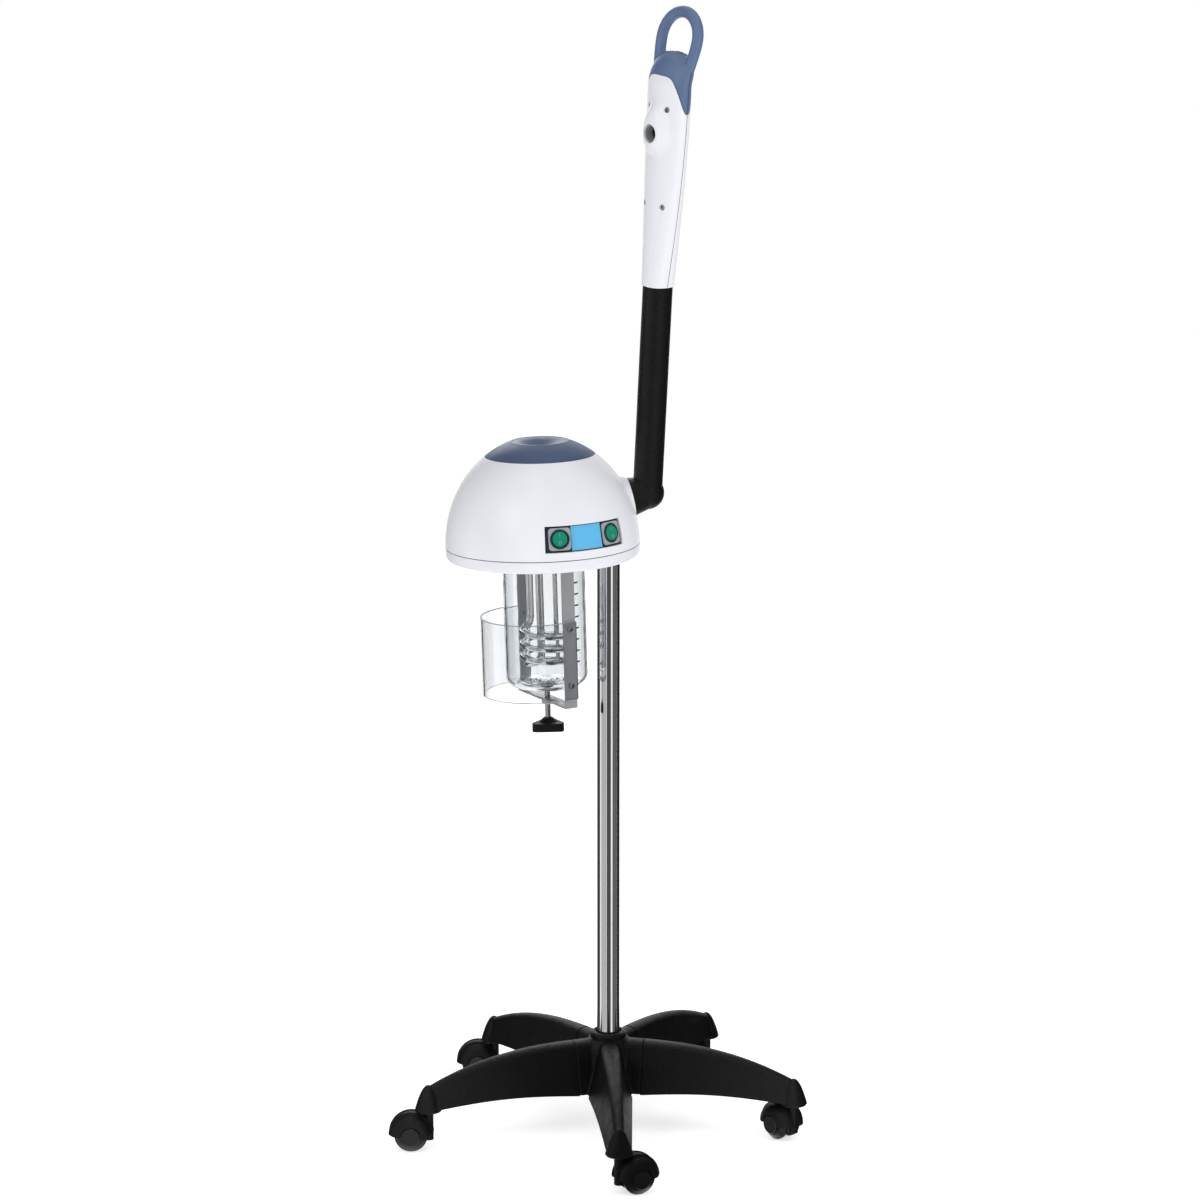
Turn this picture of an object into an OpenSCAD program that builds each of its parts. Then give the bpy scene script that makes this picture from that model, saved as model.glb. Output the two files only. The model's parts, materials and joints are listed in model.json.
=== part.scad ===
// Facial steamer on a five-legged caster base, in millimetres with +Z up.
// The origin is on the floor under the pole. The client sits at -Y, and the panel faces +X.

/* [Base] */
// Radius of the circle of caster stems
stem_circle = 233; // [210:1:260]
// Turn of the first leg from +X
leg_turn = -26; // [-36:1:36]
// Radius at which a leg meets the hub
hub_reach = 47; // [46:1:54]
// Height of a leg at the hub
leg_h = 63; // [56:1:72]
// Drop of a leg's ridge from the hub to the caster
leg_drop = 36; // [28:1:40]
// Rise of a leg's lower edge at the middle of its run
leg_rise = 6; // [2:1:10]
// Width across a leg's lower edges at the hub
leg_w = 54; // [46:1:55]
// Width across a leg's lower edges at the caster
leg_end_w = 30; // [26:1:31]
// Width of a leg's ridge at the hub
ridge_w = 24; // [18:1:28]
// Wall of a leg
leg_wall = 3; // [2:0.5:4]
// Diameter of the bell at the end of a leg
bell_d = 33; // [30:1:38]

/* [Casters] */
// Radius of a wheel
wheel_r = 20; // [18:0.5:23]
// Width of a wheel's tyre
wheel_w = 9.5; // [8:0.5:11]
// Space between a tyre and its hood
hood_gap = 4; // [3:0.5:5]
// Wall of a hood
hood_wall = 2.5; // [2:0.25:3]
// Distance from the stem back to the axle
trail = 21; // [19:0.5:25]
// Diameter of the caster post
post_d = 12; // [11:0.5:13]
// Diameter of the steel stem
stem_d = 9; // [8:0.5:10]
// Diameter of the axle
axle_d = 6; // [5:0.5:7]

/* [Pole] */
// Diameter of the pole
pole_d = 28; // [25:0.5:32]
// Diameter of the collar at the foot of the pole
collar_d = 44; // [40:1:50]
// Height of that collar
collar_h = 7; // [5:1:10]

/* [Head] */
// Height of the dome's seam
seam_z = 737; // [640:1:860]
// Distance of the dome's axis in front of the pole
head_reach = 89; // [86:0.5:92]
// Forward lean of the head
head_tilt = 1.8; // [0:0.1:3]
// Radius of the dome at its seam
dome_r = 115; // [113:0.5:122]
// Height at which the dome's ellipse would close
dome_rise = 128.5; // [124:0.5:136]
// Wall of the dome and its cover
dome_wall = 3; // [2:0.25:3.5]
// Depth of the blue cap's edge below the height at which the dome would close
cap_drop = 22.5; // [18.5:0.5:28]
// Depth of the dish's rim below the height at which the dome would close
rim_drop = 6.5; // [5:0.5:8]
// Depth of the dish
dish_depth = 9.5; // [5:0.5:10]
// Height of the bottom cover
cover_h = 15; // [12:0.5:20]
// Round of the bottom cover's edge
cover_round = 6; // [3:0.5:9]

/* [Panel] */
// Half of the angle that the panel spans
panel_half = 26; // [24:0.5:30]
// Lower edge of the panel above the seam
panel_low = 10; // [8:0.5:13]
// Upper edge of the panel above the seam
panel_high = 39.5; // [38.5:0.5:44]
// Depth of the panel in the dome's wall
panel_sink = 2.5; // [1.5:0.25:3]
// Angle from the middle of the panel to a switch
switch_turn = 17.5; // [16:0.5:19]
// Width of a switch plate
plate_w = 26; // [24:0.5:28]
// Radius of a rocker
rocker_r = 9; // [8:0.25:9.5]
// Tilt of a rocker to either side
rocker_tilt = 8; // [5:0.5:10]

/* [Jar] */
// Outer diameter of the jar
jar_d = 98; // [92:0.5:100]
// Wall of the jar
jar_wall = 3; // [2:0.25:4]
// Depth of the jar's bottom under the seam
jar_drop = 171; // [155:1:190]
// Round of the jar's lower corner
jar_round = 14; // [8:0.5:18]
// Radius of the heater's coil
coil_r = 26; // [22:0.5:29]
// Diameter of the heater's tube
coil_d = 7.5; // [6:0.25:8.5]
// Height of the lowest turn over the jar's bottom
coil_low = 24; // [18:0.5:30]
// Rise of the coil from turn to turn
coil_pitch = 23; // [14:0.5:28]

/* [Clamp] */
// Width of the yoke's strap
strap_w = 16; // [13:0.5:20]
// Thickness of the yoke's strap
strap_t = 2.5; // [2:0.25:3]
// Space between the jar and a strap
strap_gap = 8.7; // [6:0.1:12]
// Distance of the yoke's crossbar under the jar
yoke_drop = 15; // [14:0.5:20]
// Diameter of the clamp screw
screw_d = 6.5; // [5:0.25:8]
// Length of the screw under the crossbar
screw_drop = 28; // [24:0.5:36]
// Width of the knob across its lobes
knob_d = 42; // [36:0.5:46]
// Height of the knob's grip
knob_h = 10; // [8:0.5:14]
// Wall of the guard
guard_t = 3; // [2:0.25:4]
// Height of the guard
guard_h = 92; // [80:1:110]
// Height of the guard's lower edge over the jar's bottom
guard_low = -6; // [-10:0.5:10]
// Length of the guard's flat ends in front of the straps
guard_tab = 16; // [10:0.5:24]

/* [Arm] */
// Turn of the arm's boss from +X
boss_turn = 70.5; // [66:0.5:74]
// Rise of the boss's axis
boss_rise = 11.3; // [8:0.1:14]
// Distance of the boss's face inside the dome's radius
boss_back = 8; // [3:0.5:9]
// Height of the boss's face above the seam
boss_h = 50; // [48:0.5:56]
// Radius of the boss's face
boss_r = 23; // [21:0.5:25]
// Distance from the boss's face to the arm's axis
elbow_reach = 20.5; // [20.5:0.5:28]
// Diameter of the arm
arm_d = 35; // [33:0.5:38]
// Length of the arm above the elbow
arm_l = 250; // [200:1:300]
// Swing of the arm about the boss
arm_swing = 7; // [0:0.5:12]
// Lean of the arm away from the dome
arm_lean = 14.2; // [10:0.1:20]
// Bore of the arm
arm_bore = 24; // [20:0.5:26]
// Diameter of the spigot that turns in the boss
spigot_d = 32; // [28:0.5:34]

/* [Wand] */
// Turn of the wand about the arm
wand_turn = -65; // [-120:1:120]
// Height of the blue edge at the front
arch_top = 244; // [238:1:250]
// Height of the blue edge at the sides
arch_side = 203; // [197:1:209]
// Height of the cap's top between the loop's arms
crown_h = 271; // [268:1:277]
// Height of the loop's centre line at its top
loop_h = 314; // [308:1:328]
// Half of the wand's greatest width
wand_half = 34; // [32:0.5:38]
// Wall of the wand
wand_wall = 2.5; // [2:0.25:3]
// Width of the loop's bar
loop_w = 14; // [11:0.5:15]
// Thickness of the loop's bar
loop_t = 12.5; // [9:0.5:13]
// Height of the nozzle
nozzle_h = 178; // [170:1:186]
// Reach of the nozzle's face in front of the arm's axis
nozzle_reach = 23; // [21:0.5:26]
// Radius of the nozzle's outlet
nozzle_r = 10.8; // [9:0.2:12]

/* [Hidden] */
$fn = 72;
LEGS = [1:5];

// Clearances: a shaft in its hole, faces that move past each other, and seams of fixed pieces
fit = 0.05;
gap = 0.4;
seam = 0.2;
// Reach of a cut past the face that it opens
over = 1;

// Heights of the base, built up from the floor
hood_r = wheel_r + hood_gap + hood_wall;
bell_z = wheel_r + hood_r + 1.5;
leg_low = bell_z + 3;
leg_top = leg_low + leg_h;
hub_floor = 6;
hub_top = leg_top + 1;
leg_step = 72;
leg_run = stem_circle - hub_reach;
bell_top = leg_top - leg_drop + 2.2;
bell_lip = 1.5;
stem_in = 16;
stem_up = 20;
// The tongue by which a leg sits in the hub, and the bolt through it
tongue_l = 15;
tongue_w = 18;
tongue_low = leg_low + 14;
tongue_h = 26;
end_plate = 6;
bolt_d = 6;
bolt_reach = hub_reach - tongue_l / 2;
// Headings of the casters as they stand, as angles from +X towards +Y
headings = [85, -170, -129, -119, -119];
// The caster across its axle
web_t = 6;
wheel_in = post_d / 2 + 1;
wheel_out = wheel_in + wheel_w;
hood_half = wheel_out + hood_wall + 1;
hood_flat = web_t / 2 + 1;
disc_r = wheel_r - 8.5;
hood_open = disc_r + 1;
ridge_step = 2.2;
ridge_rise = 0.9;
// The head
pole_in = 28;
socket_wall = 4;
collar_wall = 3;
jar_hole = jar_d / 2 + 2;
jar_rim = 4;
gasket_t = 4;
plate_z = jar_rim + gasket_t;
plate_t = 3;
plate_r = jar_hole + collar_wall + 2;
cover_wall = dome_wall;
lip_w = 6;
cap_h = dome_rise - cap_drop;
rim_h = dome_rise - rim_drop;
rim_w = 4;
dome_steps = 18;
panel_t = 3;
panel_lap = 3;
switch_plate_t = 2;
housing_w = 2 * rocker_r + 4;
housing_l = 15;
trunnion_d = 2.4;
// The cord's gland, by its radius and turn about the dome's axis
gland_d = 12;
gland_reach = 90;
gland_turn = 225;
cord_d = 7;
// The yoke and the guard
strap_x = jar_d / 2 + strap_gap;
strap_out = strap_x + strap_t;
bar_top = -jar_drop - yoke_drop;
bar_low = bar_top - strap_t;
pad_t = 5;
pad_d = 26;
screw_in = 3;
bush_d = 14;
bush_h = 6;
knob_low = bar_low - screw_drop - knob_h;
guard_z = -jar_drop + guard_low;
screw_rows = [guard_z + 16, guard_z + guard_h - 8];
tap_d = 3;
// The arm
arm_turn_r = min(arm_d / 2 + 2.5, elbow_reach - gap);
spigot_l = 26;
boss_in = 22;
boss_flare = 10;
boss_reach = dome_r - boss_back;
// The wand
wand_r = arm_d / 2 + 0.7;
wand_back = 17;
wand_front = 13.4;
wand_centre = 4;
wand_bulge = 200;
wide_from = 220;
lean_from = 235;
loop_lean = 11;
pipe_r = arm_bore / 2 - fit;
pipe_in = 30;
tube_r = 8;
branch_r = 5.5;
screw_x = 16.5;
screw_hs = [arch_side - 108, arch_side + 4];
screw_head_r = 3.4;
shank_r = 1.6;
shank_in = 6;
head_low = 6;
post_r = 3.4;
seat_r = 4.6;

// Shared forms

function smooth(t) = t <= 0 ? 0 : t >= 1 ? 1 : t * t * (3 - 2 * t);
function signed_power(v, p) = sign(v) * pow(abs(v), p);
function quarter(x, y, r, from, steps = 6) =
  [for (k = [0:steps]) [x + r * cos(from + 90 * k / steps), y + r * sin(from + 90 * k / steps)]];

// Two triangles for the four corners of a patch, seen from outside
function patch(a, b, c, d) = [[a, b, c], [a, c, d]];

// A closed wall between an outer and an inner grid of points. Rows go up and columns go
// round anticlockwise. Where closed, the last column joins the first and the top is capped.
module wall_between(outer, inner, closed = false) {
  rows = len(outer);
  columns = len(outer[0]);
  last = closed ? columns - 1 : columns - 2;
  shift = rows * columns;
  points = concat([for (row = outer) each row], [for (row = inner) each row]);
  function at(i, j) = i * columns + j % columns;
  skins = [for (i = [0:rows - 2]) for (j = [0:last]) each concat(
    patch(at(i, j), at(i + 1, j), at(i + 1, j + 1), at(i, j + 1)),
    patch(shift + at(i, j), shift + at(i, j + 1), shift + at(i + 1, j + 1), shift + at(i + 1, j)))];
  foot = [for (j = [0:last])
    each patch(at(0, j), at(0, j + 1), shift + at(0, j + 1), shift + at(0, j))];
  top = rows - 1;
  head = closed
    ? [[for (j = [0:last]) at(top, last - j)], [for (j = [0:last]) shift + at(top, j)]]
    : [for (j = [0:last])
        each patch(at(top, j + 1), at(top, j), shift + at(top, j), shift + at(top, j + 1))];
  edge = columns - 1;
  sides = closed ? [] : [for (i = [0:rows - 2]) each concat(
    patch(at(i + 1, 0), at(i, 0), shift + at(i, 0), shift + at(i + 1, 0)),
    patch(at(i, edge), at(i + 1, edge), shift + at(i + 1, edge), shift + at(i, edge)))];
  polyhedron(points, concat(skins, foot, head, sides), convexity = 8);
}

// A bar through rings of points, with a flat end at the first and the last ring
module bar_through(rings) {
  count = len(rings);
  sides = len(rings[0]);
  points = [for (ring = rings) each ring];
  function at(i, j) = i * sides + j % sides;
  skin = [for (i = [0:count - 2]) for (j = [0:sides - 1])
    each patch(at(i, j), at(i + 1, j), at(i + 1, j + 1), at(i, j + 1))];
  ends = [[for (j = [0:sides - 1]) j], [for (j = [0:sides - 1]) at(count - 1, sides - 1 - j)]];
  polyhedron(points, concat(skin, ends), convexity = 8);
}

// Base

// A leg's heights and half widths at a share s of its run from the hub to the caster
function ridge_z(s) = leg_top - leg_drop * pow(s, 2.4);
function edge_z(s) = leg_low + leg_rise * sin(180 * s);
function edge_y(s) = (leg_w + (leg_end_w - leg_w) * s) / 2;
function ridge_y(s) = ridge_w * (1 - 0.45 * s) / 2;

// A leg's section as [y, z] points, from one lower edge over the ridge to the other
function leg_section(s, inset = 0) =
  let (
    low = edge_y(s) - inset,
    high = ridge_y(s) - 0.7 * inset,
    foot = edge_z(s),
    top = ridge_z(s) - inset,
    shoulder = 8,
    half = concat(
      [for (k = [0:0.25:1]) [low + (high - low) * pow(k, 0.8), foot + (top - shoulder - foot) * k]],
      [[0.87 * high, top - 0.5 * shoulder], [0.6 * high, top - 0.2 * shoulder]])
  ) concat(half, [[0, top]], [for (k = [len(half) - 1:-1:0]) [-half[k][0], half[k][1]]]);

// The bell's [r, z] outline at a share s of its way up, a bullet over its lip
function bell_point(s) = [bell_d / 2 * cos(90 * s),
  bell_z + bell_lip + (bell_top - bell_z - bell_lip) * pow(sin(90 * s), 2)];

module leg_place(i) {
  rotate([0, 0, leg_turn + leg_step * (i - 1)]) children();
}

module along_leg(from, length) {
  translate([from, 0, 0]) rotate([90, 0, 90]) linear_extrude(length) children();
}

module tongue(clear = 0) {
  translate([hub_reach - tongue_l - clear, -tongue_w / 2 - clear, tongue_low - clear])
    cube([tongue_l + end_plate, tongue_w + 2 * clear, tongue_h + 2 * clear]);
}

module bolt_hole(clear) {
  translate([bolt_reach, 0, leg_low - over])
    cylinder(d = bolt_d + 2 * clear, h = tongue_low + tongue_h - 6 - leg_low + over);
}

module base_hub() {
  bar_from = 0.84 * hub_reach;
  core_lift = 2;
  neck_h = 8;
  color([0.07, 0.07, 0.08]) difference() {
    union() {
      translate([0, 0, leg_low + core_lift])
        cylinder(r1 = 0.97 * hub_reach, r2 = 0.8 * hub_reach, h = leg_h - core_lift - neck_h);
      translate([0, 0, leg_low + hub_floor])
        cylinder(r = collar_d / 2 + 1.5, h = hub_top - leg_low - hub_floor);
      for (i = LEGS) leg_place(i) along_leg(bar_from, hub_reach - bar_from) polygon(leg_section(0));
    }
    translate([0, 0, leg_low + hub_floor]) cylinder(d = pole_d + 2 * fit, h = leg_h + hub_top);
    for (i = LEGS) leg_place(i) {
      tongue(seam);
      bolt_hole(fit);
    }
  }
}

module leg(i) {
  ends = stem_circle - 3;
  bell_steps = 8;
  stations = [for (k = [0:12]) hub_reach + seam + (ends - hub_reach - seam) * k / 12];
  function ring(r, inset) = [for (p = leg_section((r - hub_reach) / leg_run, inset)) [r, p[0], p[1]]];
  color([0.07, 0.07, 0.08]) leg_place(i) difference() {
    union() {
      wall_between([for (r = stations) ring(r, 0)], [for (r = stations) ring(r, leg_wall)]);
      along_leg(hub_reach + 2 * seam, end_plate) polygon(leg_section(0.03, leg_wall / 2));
      tongue();
      translate([stem_circle, 0, 0]) rotate_extrude() polygon(concat(
        [[0, bell_z], [bell_d / 2 - 1, bell_z]],
        [for (k = [0:bell_steps]) bell_point(k / bell_steps)]));
    }
    bolt_hole(fit);
    translate([stem_circle, 0, bell_z - over])
      cylinder(d = stem_d + 2 * fit, h = stem_up + 2 * over);
  }
}

module leg_bolts() {
  head_d = bolt_d + 4;
  head_h = 4;
  color("dimgray") for (i = LEGS) leg_place(i) translate([bolt_reach, 0, leg_low]) {
    cylinder(d = bolt_d, h = tongue_low + tongue_h - 7 - leg_low);
    translate([0, 0, -head_h - fit]) cylinder(d = head_d, h = head_h, $fn = 6);
    translate([0, 0, -fit - 0.5]) cylinder(d = bolt_d, h = 1);
  }
}

// Casters, in a frame with the stem on Z and the axle behind it on +X

module caster_place(i) {
  turn = leg_turn + leg_step * (i - 1);
  rotate([0, 0, turn]) translate([stem_circle, 0, 0]) rotate([0, 0, headings[i - 1] - turn]) children();
}

module on_axle() {
  translate([trail, 0, wheel_r]) rotate([90, 0, 0]) children();
}

// Radius of the hood at a distance a from the middle of the axle
function hood_at(a) = hood_open
  + (hood_r - hood_open) * sqrt(max(0, 1 - pow((a - hood_flat) / (hood_half - hood_flat), 2)));

// Half of the hood's section, from the middle out over the ridges and back inside
function hood_side() =
  let (
    ridges = [for (k = [0:2]) let (a = hood_flat + 1 + ridge_step * k)
      each [[hood_at(a), a], [hood_at(a + 0.4) + ridge_rise, a + 0.4], [hood_at(a + 0.8), a + 0.8]]],
    skin = [for (t = [24:11:90]) let (a = hood_flat + (hood_half - hood_flat) * sin(t)) [hood_at(a), a]],
    deep = hood_half - hood_wall - hood_flat,
    inside = [for (t = [90:-15:0])
      [hood_open + (hood_r - hood_wall - hood_open) * cos(t), hood_flat + deep * sin(t)]]
  ) concat(ridges, skin, [[hood_open, hood_half]], inside);

module caster_frame(i) {
  side = hood_side();
  flip = [for (k = [len(side) - 1:-1:0]) [side[k][0], -side[k][1]]];
  post_low = wheel_r - 8;
  color([0.08, 0.08, 0.09]) caster_place(i) difference() {
    union() {
      on_axle() rotate_extrude(angle = 180) polygon(concat([[0, -web_t / 2],
        [hood_r - hood_wall, -web_t / 2]], flip, side, [[hood_r - hood_wall, web_t / 2], [0, web_t / 2]]));
      on_axle() translate([0, 0, -web_t / 2]) cylinder(d = 2 * axle_d, h = web_t);
      translate([0, 0, post_low]) cylinder(d = post_d, h = bell_z - 1 - post_low);
    }
    on_axle() translate([0, 0, -post_d]) cylinder(d = axle_d + 2 * fit, h = 2 * post_d);
    translate([0, 0, bell_z - stem_in]) cylinder(d = stem_d + 2 * fit, h = stem_in + over);
  }
}

module caster_pins(i) {
  color("silver") caster_place(i) {
    translate([0, 0, bell_z - stem_in + fit]) cylinder(d = stem_d, h = stem_in + stem_up);
    on_axle() translate([0, 0, gap - wheel_out]) cylinder(d = axle_d, h = 2 * (wheel_out - gap));
  }
}

module wheel(i, side) {
  bore = axle_d / 2 + fit;
  tread = 0.45 * wheel_w;
  color([0.12, 0.12, 0.13]) caster_place(i) on_axle() mirror([0, 0, side < 0 ? 1 : 0])
    rotate_extrude() polygon([[bore, wheel_in], [wheel_r - 1, wheel_in], [wheel_r, wheel_in + 1],
      [wheel_r, wheel_in + tread], [disc_r + 3, wheel_out - 0.8], [disc_r + 1.6, wheel_out],
      [disc_r, wheel_out], [disc_r, hood_half - 0.6], [disc_r - 0.8, hood_half + 0.2],
      [0, hood_half + 0.2], [0, wheel_out], [bore, wheel_out]]);
}

// Pole

module pole() {
  wall = 1.5;
  low = leg_low + hub_floor + fit;
  color([0.85, 0.86, 0.88]) difference() {
    translate([0, 0, low]) cylinder(d = pole_d, h = seam_z + pole_in - low);
    translate([0, 0, low - over]) cylinder(d = pole_d - 2 * wall, h = seam_z + pole_in);
  }
}

module pole_collar() {
  inner = pole_d / 2 + fit;
  color([0.09, 0.09, 0.1]) translate([0, 0, hub_top + fit]) rotate_extrude() polygon(
    [[inner, 0], [collar_d / 2, 0], [collar_d / 2, 0.6 * collar_h],
      [collar_d / 2 - 2, 0.9 * collar_h], [collar_d / 2 - 4, collar_h],
      [inner + 2.5, collar_h], [inner + 1.5, 0.55 * collar_h], [inner, 0.5 * collar_h]]);
}

// Head, in a frame at the dome's axis in the plane of its seam

module head_place() {
  translate([0, -head_reach, seam_z]) rotate([head_tilt, 0, 0]) children();
}

// The floor's frame, for what stays upright where the head leans
module upright() {
  rotate([-head_tilt, 0, 0]) translate([0, head_reach, -seam_z]) children();
}

function dome_at(h, inset = 0) = (dome_r - inset) * sqrt(1 - pow(h / (dome_rise - inset), 2));
function dome_arc(from, to, inset = 0) =
  let (rise = dome_rise - inset, a = asin(from / rise), b = asin(to / rise))
  [for (k = [0:dome_steps]) let (t = a + (b - a) * k / dome_steps)
    [(dome_r - inset) * cos(t), rise * sin(t)]];
function reversed(list) = [for (k = [len(list) - 1:-1:0]) list[k]];

module boss_place() {
  rotate([0, 0, boss_turn]) translate([boss_reach, 0, boss_h]) rotate([0, -boss_rise, 0]) children();
}

// A rod along the boss's axis, between two distances from the boss's face
module boss_rod(from, to, r1, r2) {
  boss_place() translate([from, 0, 0]) rotate([0, 90, 0]) cylinder(r1 = r1, r2 = r2, h = to - from);
}

module sector(half, low, high, r1, r2) {
  rotate([0, 0, -half]) rotate_extrude(angle = 2 * half)
    polygon([[r1, low], [r2, low], [r2, high], [r1, high]]);
}

module pole_socket() {
  sleeve_d = pole_d + 2 * socket_wall;
  floor_z = cover_wall - cover_h + fit;
  foot_r = sleeve_d / 2 + 2;
  color([0.6, 0.61, 0.63]) head_place() difference() {
    union() {
      intersection() {
        upright() translate([0, 0, seam_z - cover_h]) cylinder(d = sleeve_d, h = cover_h + pole_in);
        translate([0, 0, floor_z]) cylinder(r = dome_r, h = 2 * cover_h + pole_in);
      }
      translate([0, head_reach, floor_z]) cylinder(r = foot_r, h = 4);
    }
    upright() translate([0, 0, seam_z - 2 * cover_h])
      cylinder(d = pole_d + 2 * fit, h = 3 * cover_h + pole_in);
  }
}

module bottom_cover() {
  out = dome_r - 0.4;
  in = out - cover_wall;
  floor_z = cover_wall - cover_h;
  color([0.93, 0.93, 0.95]) head_place() difference() {
    rotate_extrude() polygon(concat([[jar_hole, -cover_h], [out - cover_round, -cover_h]],
      quarter(out - cover_round, cover_round - cover_h, cover_round, -90),
      [[out, -seam], [in, -seam], [in, floor_z + 2], [in - 2, floor_z],
        [jar_hole + collar_wall, floor_z], [jar_hole + collar_wall, plate_z - fit],
        [jar_hole, plate_z - fit]]));
    upright() translate([0, 0, seam_z - 3 * cover_h]) cylinder(d = pole_d + 3, h = 4 * cover_h);
    gland_axis() cylinder(d = gland_d + 2 * fit, h = 4 * cover_h, center = true);
  }
}

module dome_shell() {
  edge = dome_at(cap_h);
  window = gap;
  face_free = 1.5;
  color([0.94, 0.94, 0.96]) head_place() difference() {
    union() {
      rotate_extrude() polygon(concat(dome_arc(0, cap_h),
        [[edge - dome_wall - lip_w, cap_h], [edge - dome_wall - lip_w, cap_h - dome_wall]],
        reversed(dome_arc(0, cap_h - dome_wall, dome_wall))));
      difference() {
        boss_rod(-boss_in, over, boss_r + boss_flare, boss_r);
        rotate_extrude() polygon(concat([[0, 0]], dome_arc(0, cap_h, dome_wall - 1), [[0, cap_h]]));
      }
      boss_rod(-boss_in, -4, boss_r - 3, boss_r - 3);
    }
    boss_rod(0, boss_in, boss_r + face_free, boss_r + face_free);
    boss_rod(-boss_in - over, over, spigot_d / 2 + fit, spigot_d / 2 + fit);
    sector(panel_half + 0.3, panel_low - window, panel_high + window, dome_r - 25, dome_r + 5);
  }
}

module dome_cap() {
  foot = cap_h + seam / 2;
  skin_t = 2.5;
  rim = dome_at(rim_h);
  dish_r = rim - rim_w;
  dish_steps = 9;
  function dish_z(r) = rim_h + 0.4 - dish_depth * (1 + cos(180 * r / dish_r)) / 2;
  color([0.36, 0.44, 0.6]) head_place() rotate_extrude() polygon(concat(
    dome_arc(foot, rim_h), [[rim - 1.2, rim_h + 0.7], [rim - 2.8, rim_h + 0.9]],
    [for (k = [dish_steps:-1:0]) let (r = dish_r * k / dish_steps) [r, dish_z(r)]],
    [for (k = [0:dish_steps]) let (r = dish_r * k / dish_steps) [r, dish_z(r) - skin_t]],
    reversed(dome_arc(foot, rim_h - 4, dome_wall))));
}

// Control panel

panel_slope = atan2(dome_at(panel_low) - dome_at(panel_high), panel_high - panel_low);
panel_mid = (panel_low + panel_high) / 2;
function panel_r(h) = dome_at(panel_low) - panel_sink - (h - panel_low) * tan(panel_slope);

// The middle of a switch on the panel's face, with +Z out of the panel and +X down it
module switch_place(side) {
  head_place() rotate([0, 0, side * switch_turn]) translate([panel_r(panel_mid), 0, panel_mid])
    rotate([0, 90 - panel_slope, 0]) children();
}

module control_panel() {
  back = panel_sink < dome_wall ? dome_wall - panel_sink + 0.6 : 0.6;
  deep = back + panel_t - 1;
  lap_low = panel_low - panel_lap;
  lap_high = panel_high + panel_lap;
  lap_half = panel_half + 1.5;
  color([0.05, 0.1, 0.13]) difference() {
    head_place() {
      rotate([0, 0, -panel_half]) rotate_extrude(angle = 2 * panel_half) polygon(
        [[panel_r(panel_low), panel_low], [panel_r(panel_high), panel_high],
          [panel_r(panel_high) - deep, panel_high], [panel_r(panel_low) - deep, panel_low]]);
      rotate([0, 0, -lap_half]) rotate_extrude(angle = 2 * lap_half) polygon(
        [[panel_r(lap_low) - back, lap_low], [panel_r(lap_high) - back, lap_high],
          [panel_r(lap_high) - deep, lap_high], [panel_r(lap_low) - deep, lap_low]]);
    }
    for (side = [-1, 1]) switch_place(side)
      cube([housing_w + 2 * seam, housing_w + 2 * seam, 4 * panel_t + 8], center = true);
  }
}

module rounded_plate(w, r, t) {
  linear_extrude(t) {
    square([w, w - 2 * r], center = true);
    square([w - 2 * r, w], center = true);
    for (x = [-1, 1]) for (y = [-1, 1]) translate([x, y] * (w / 2 - r)) circle(r);
  }
}

pivot_z = 0.6;

module switch_housings() {
  lift = seam;
  color([0.62, 0.63, 0.65]) for (side = [-1, 1]) switch_place(side) difference() {
    union() {
      translate([0, 0, lift]) rounded_plate(plate_w, 4, switch_plate_t);
      translate([-housing_w / 2, -housing_w / 2, -housing_l])
        cube([housing_w, housing_w, housing_l + lift + 0.5]);
    }
    translate([0, 0, -6]) cylinder(r = rocker_r + 0.3, h = 20);
    translate([0, 0, pivot_z]) rotate([90, 0, 0])
      cylinder(d = trunnion_d + 2 * fit, h = 2 * rocker_r + 4, center = true);
  }
}

// A round rocker that tips about a pin across the panel, shown with its upper half pressed
module rocker(side) {
  body = 7;
  color([0.04, 0.55, 0.4]) switch_place(side) translate([0, 0, pivot_z]) rotate([0, -rocker_tilt, 0]) {
    intersection() {
      sphere(r = rocker_r);
      translate([0, 0, -0.2]) cube([3 * rocker_r, 3 * rocker_r, body], center = true);
    }
    rotate([90, 0, 0]) cylinder(d = trunnion_d, h = 2 * rocker_r + 3.4, center = true);
  }
}

// Jar and heater

module jar() {
  out = jar_d / 2;
  in = out - jar_wall;
  low = -jar_drop;
  round_in = max(jar_round - jar_wall, 1);
  color([0.8, 0.88, 0.92, 0.35]) head_place() rotate_extrude() polygon(concat(
    [[0, low], [out - jar_round, low]],
    quarter(out - jar_round, low + jar_round, jar_round, -90),
    [[out, jar_rim], [in, jar_rim]],
    reversed(quarter(in - round_in, low + jar_wall + round_in, round_in, -90)),
    [[0, low + jar_wall]]));
}

module jar_gasket() {
  color([0.75, 0.76, 0.78]) head_place() translate([0, 0, jar_rim + fit]) difference() {
    cylinder(d = jar_d + 1, h = gasket_t - 2 * fit);
    translate([0, 0, -over]) cylinder(d = jar_d - 4 * jar_wall, h = gasket_t + 2 * over);
  }
}

// Where the heater's two ends, the probe's rods and the steam outlet pass the plate
coil_turn = 195;
core_r = 9;
probe_places = [[3, 14], [-6, 17]];
probe_d = 4;
outlet_x = -76;
duct_r = 9;

module heater_plate() {
  color([0.7, 0.71, 0.72]) head_place() difference() {
    translate([0, 0, plate_z]) cylinder(r = plate_r, h = plate_t);
    for (p = [coil_start(), coil_finish()])
      translate([p[0], p[1], plate_z - over]) cylinder(d = coil_d + 2 * fit, h = plate_t + 2 * over);
    for (p = probe_places)
      translate([p[0], p[1], plate_z - over]) cylinder(d = probe_d + 2 * fit, h = plate_t + 2 * over);
    duct_drop(duct_r - 3, plate_z - over, plate_z + plate_t + over);
  }
}

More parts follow.
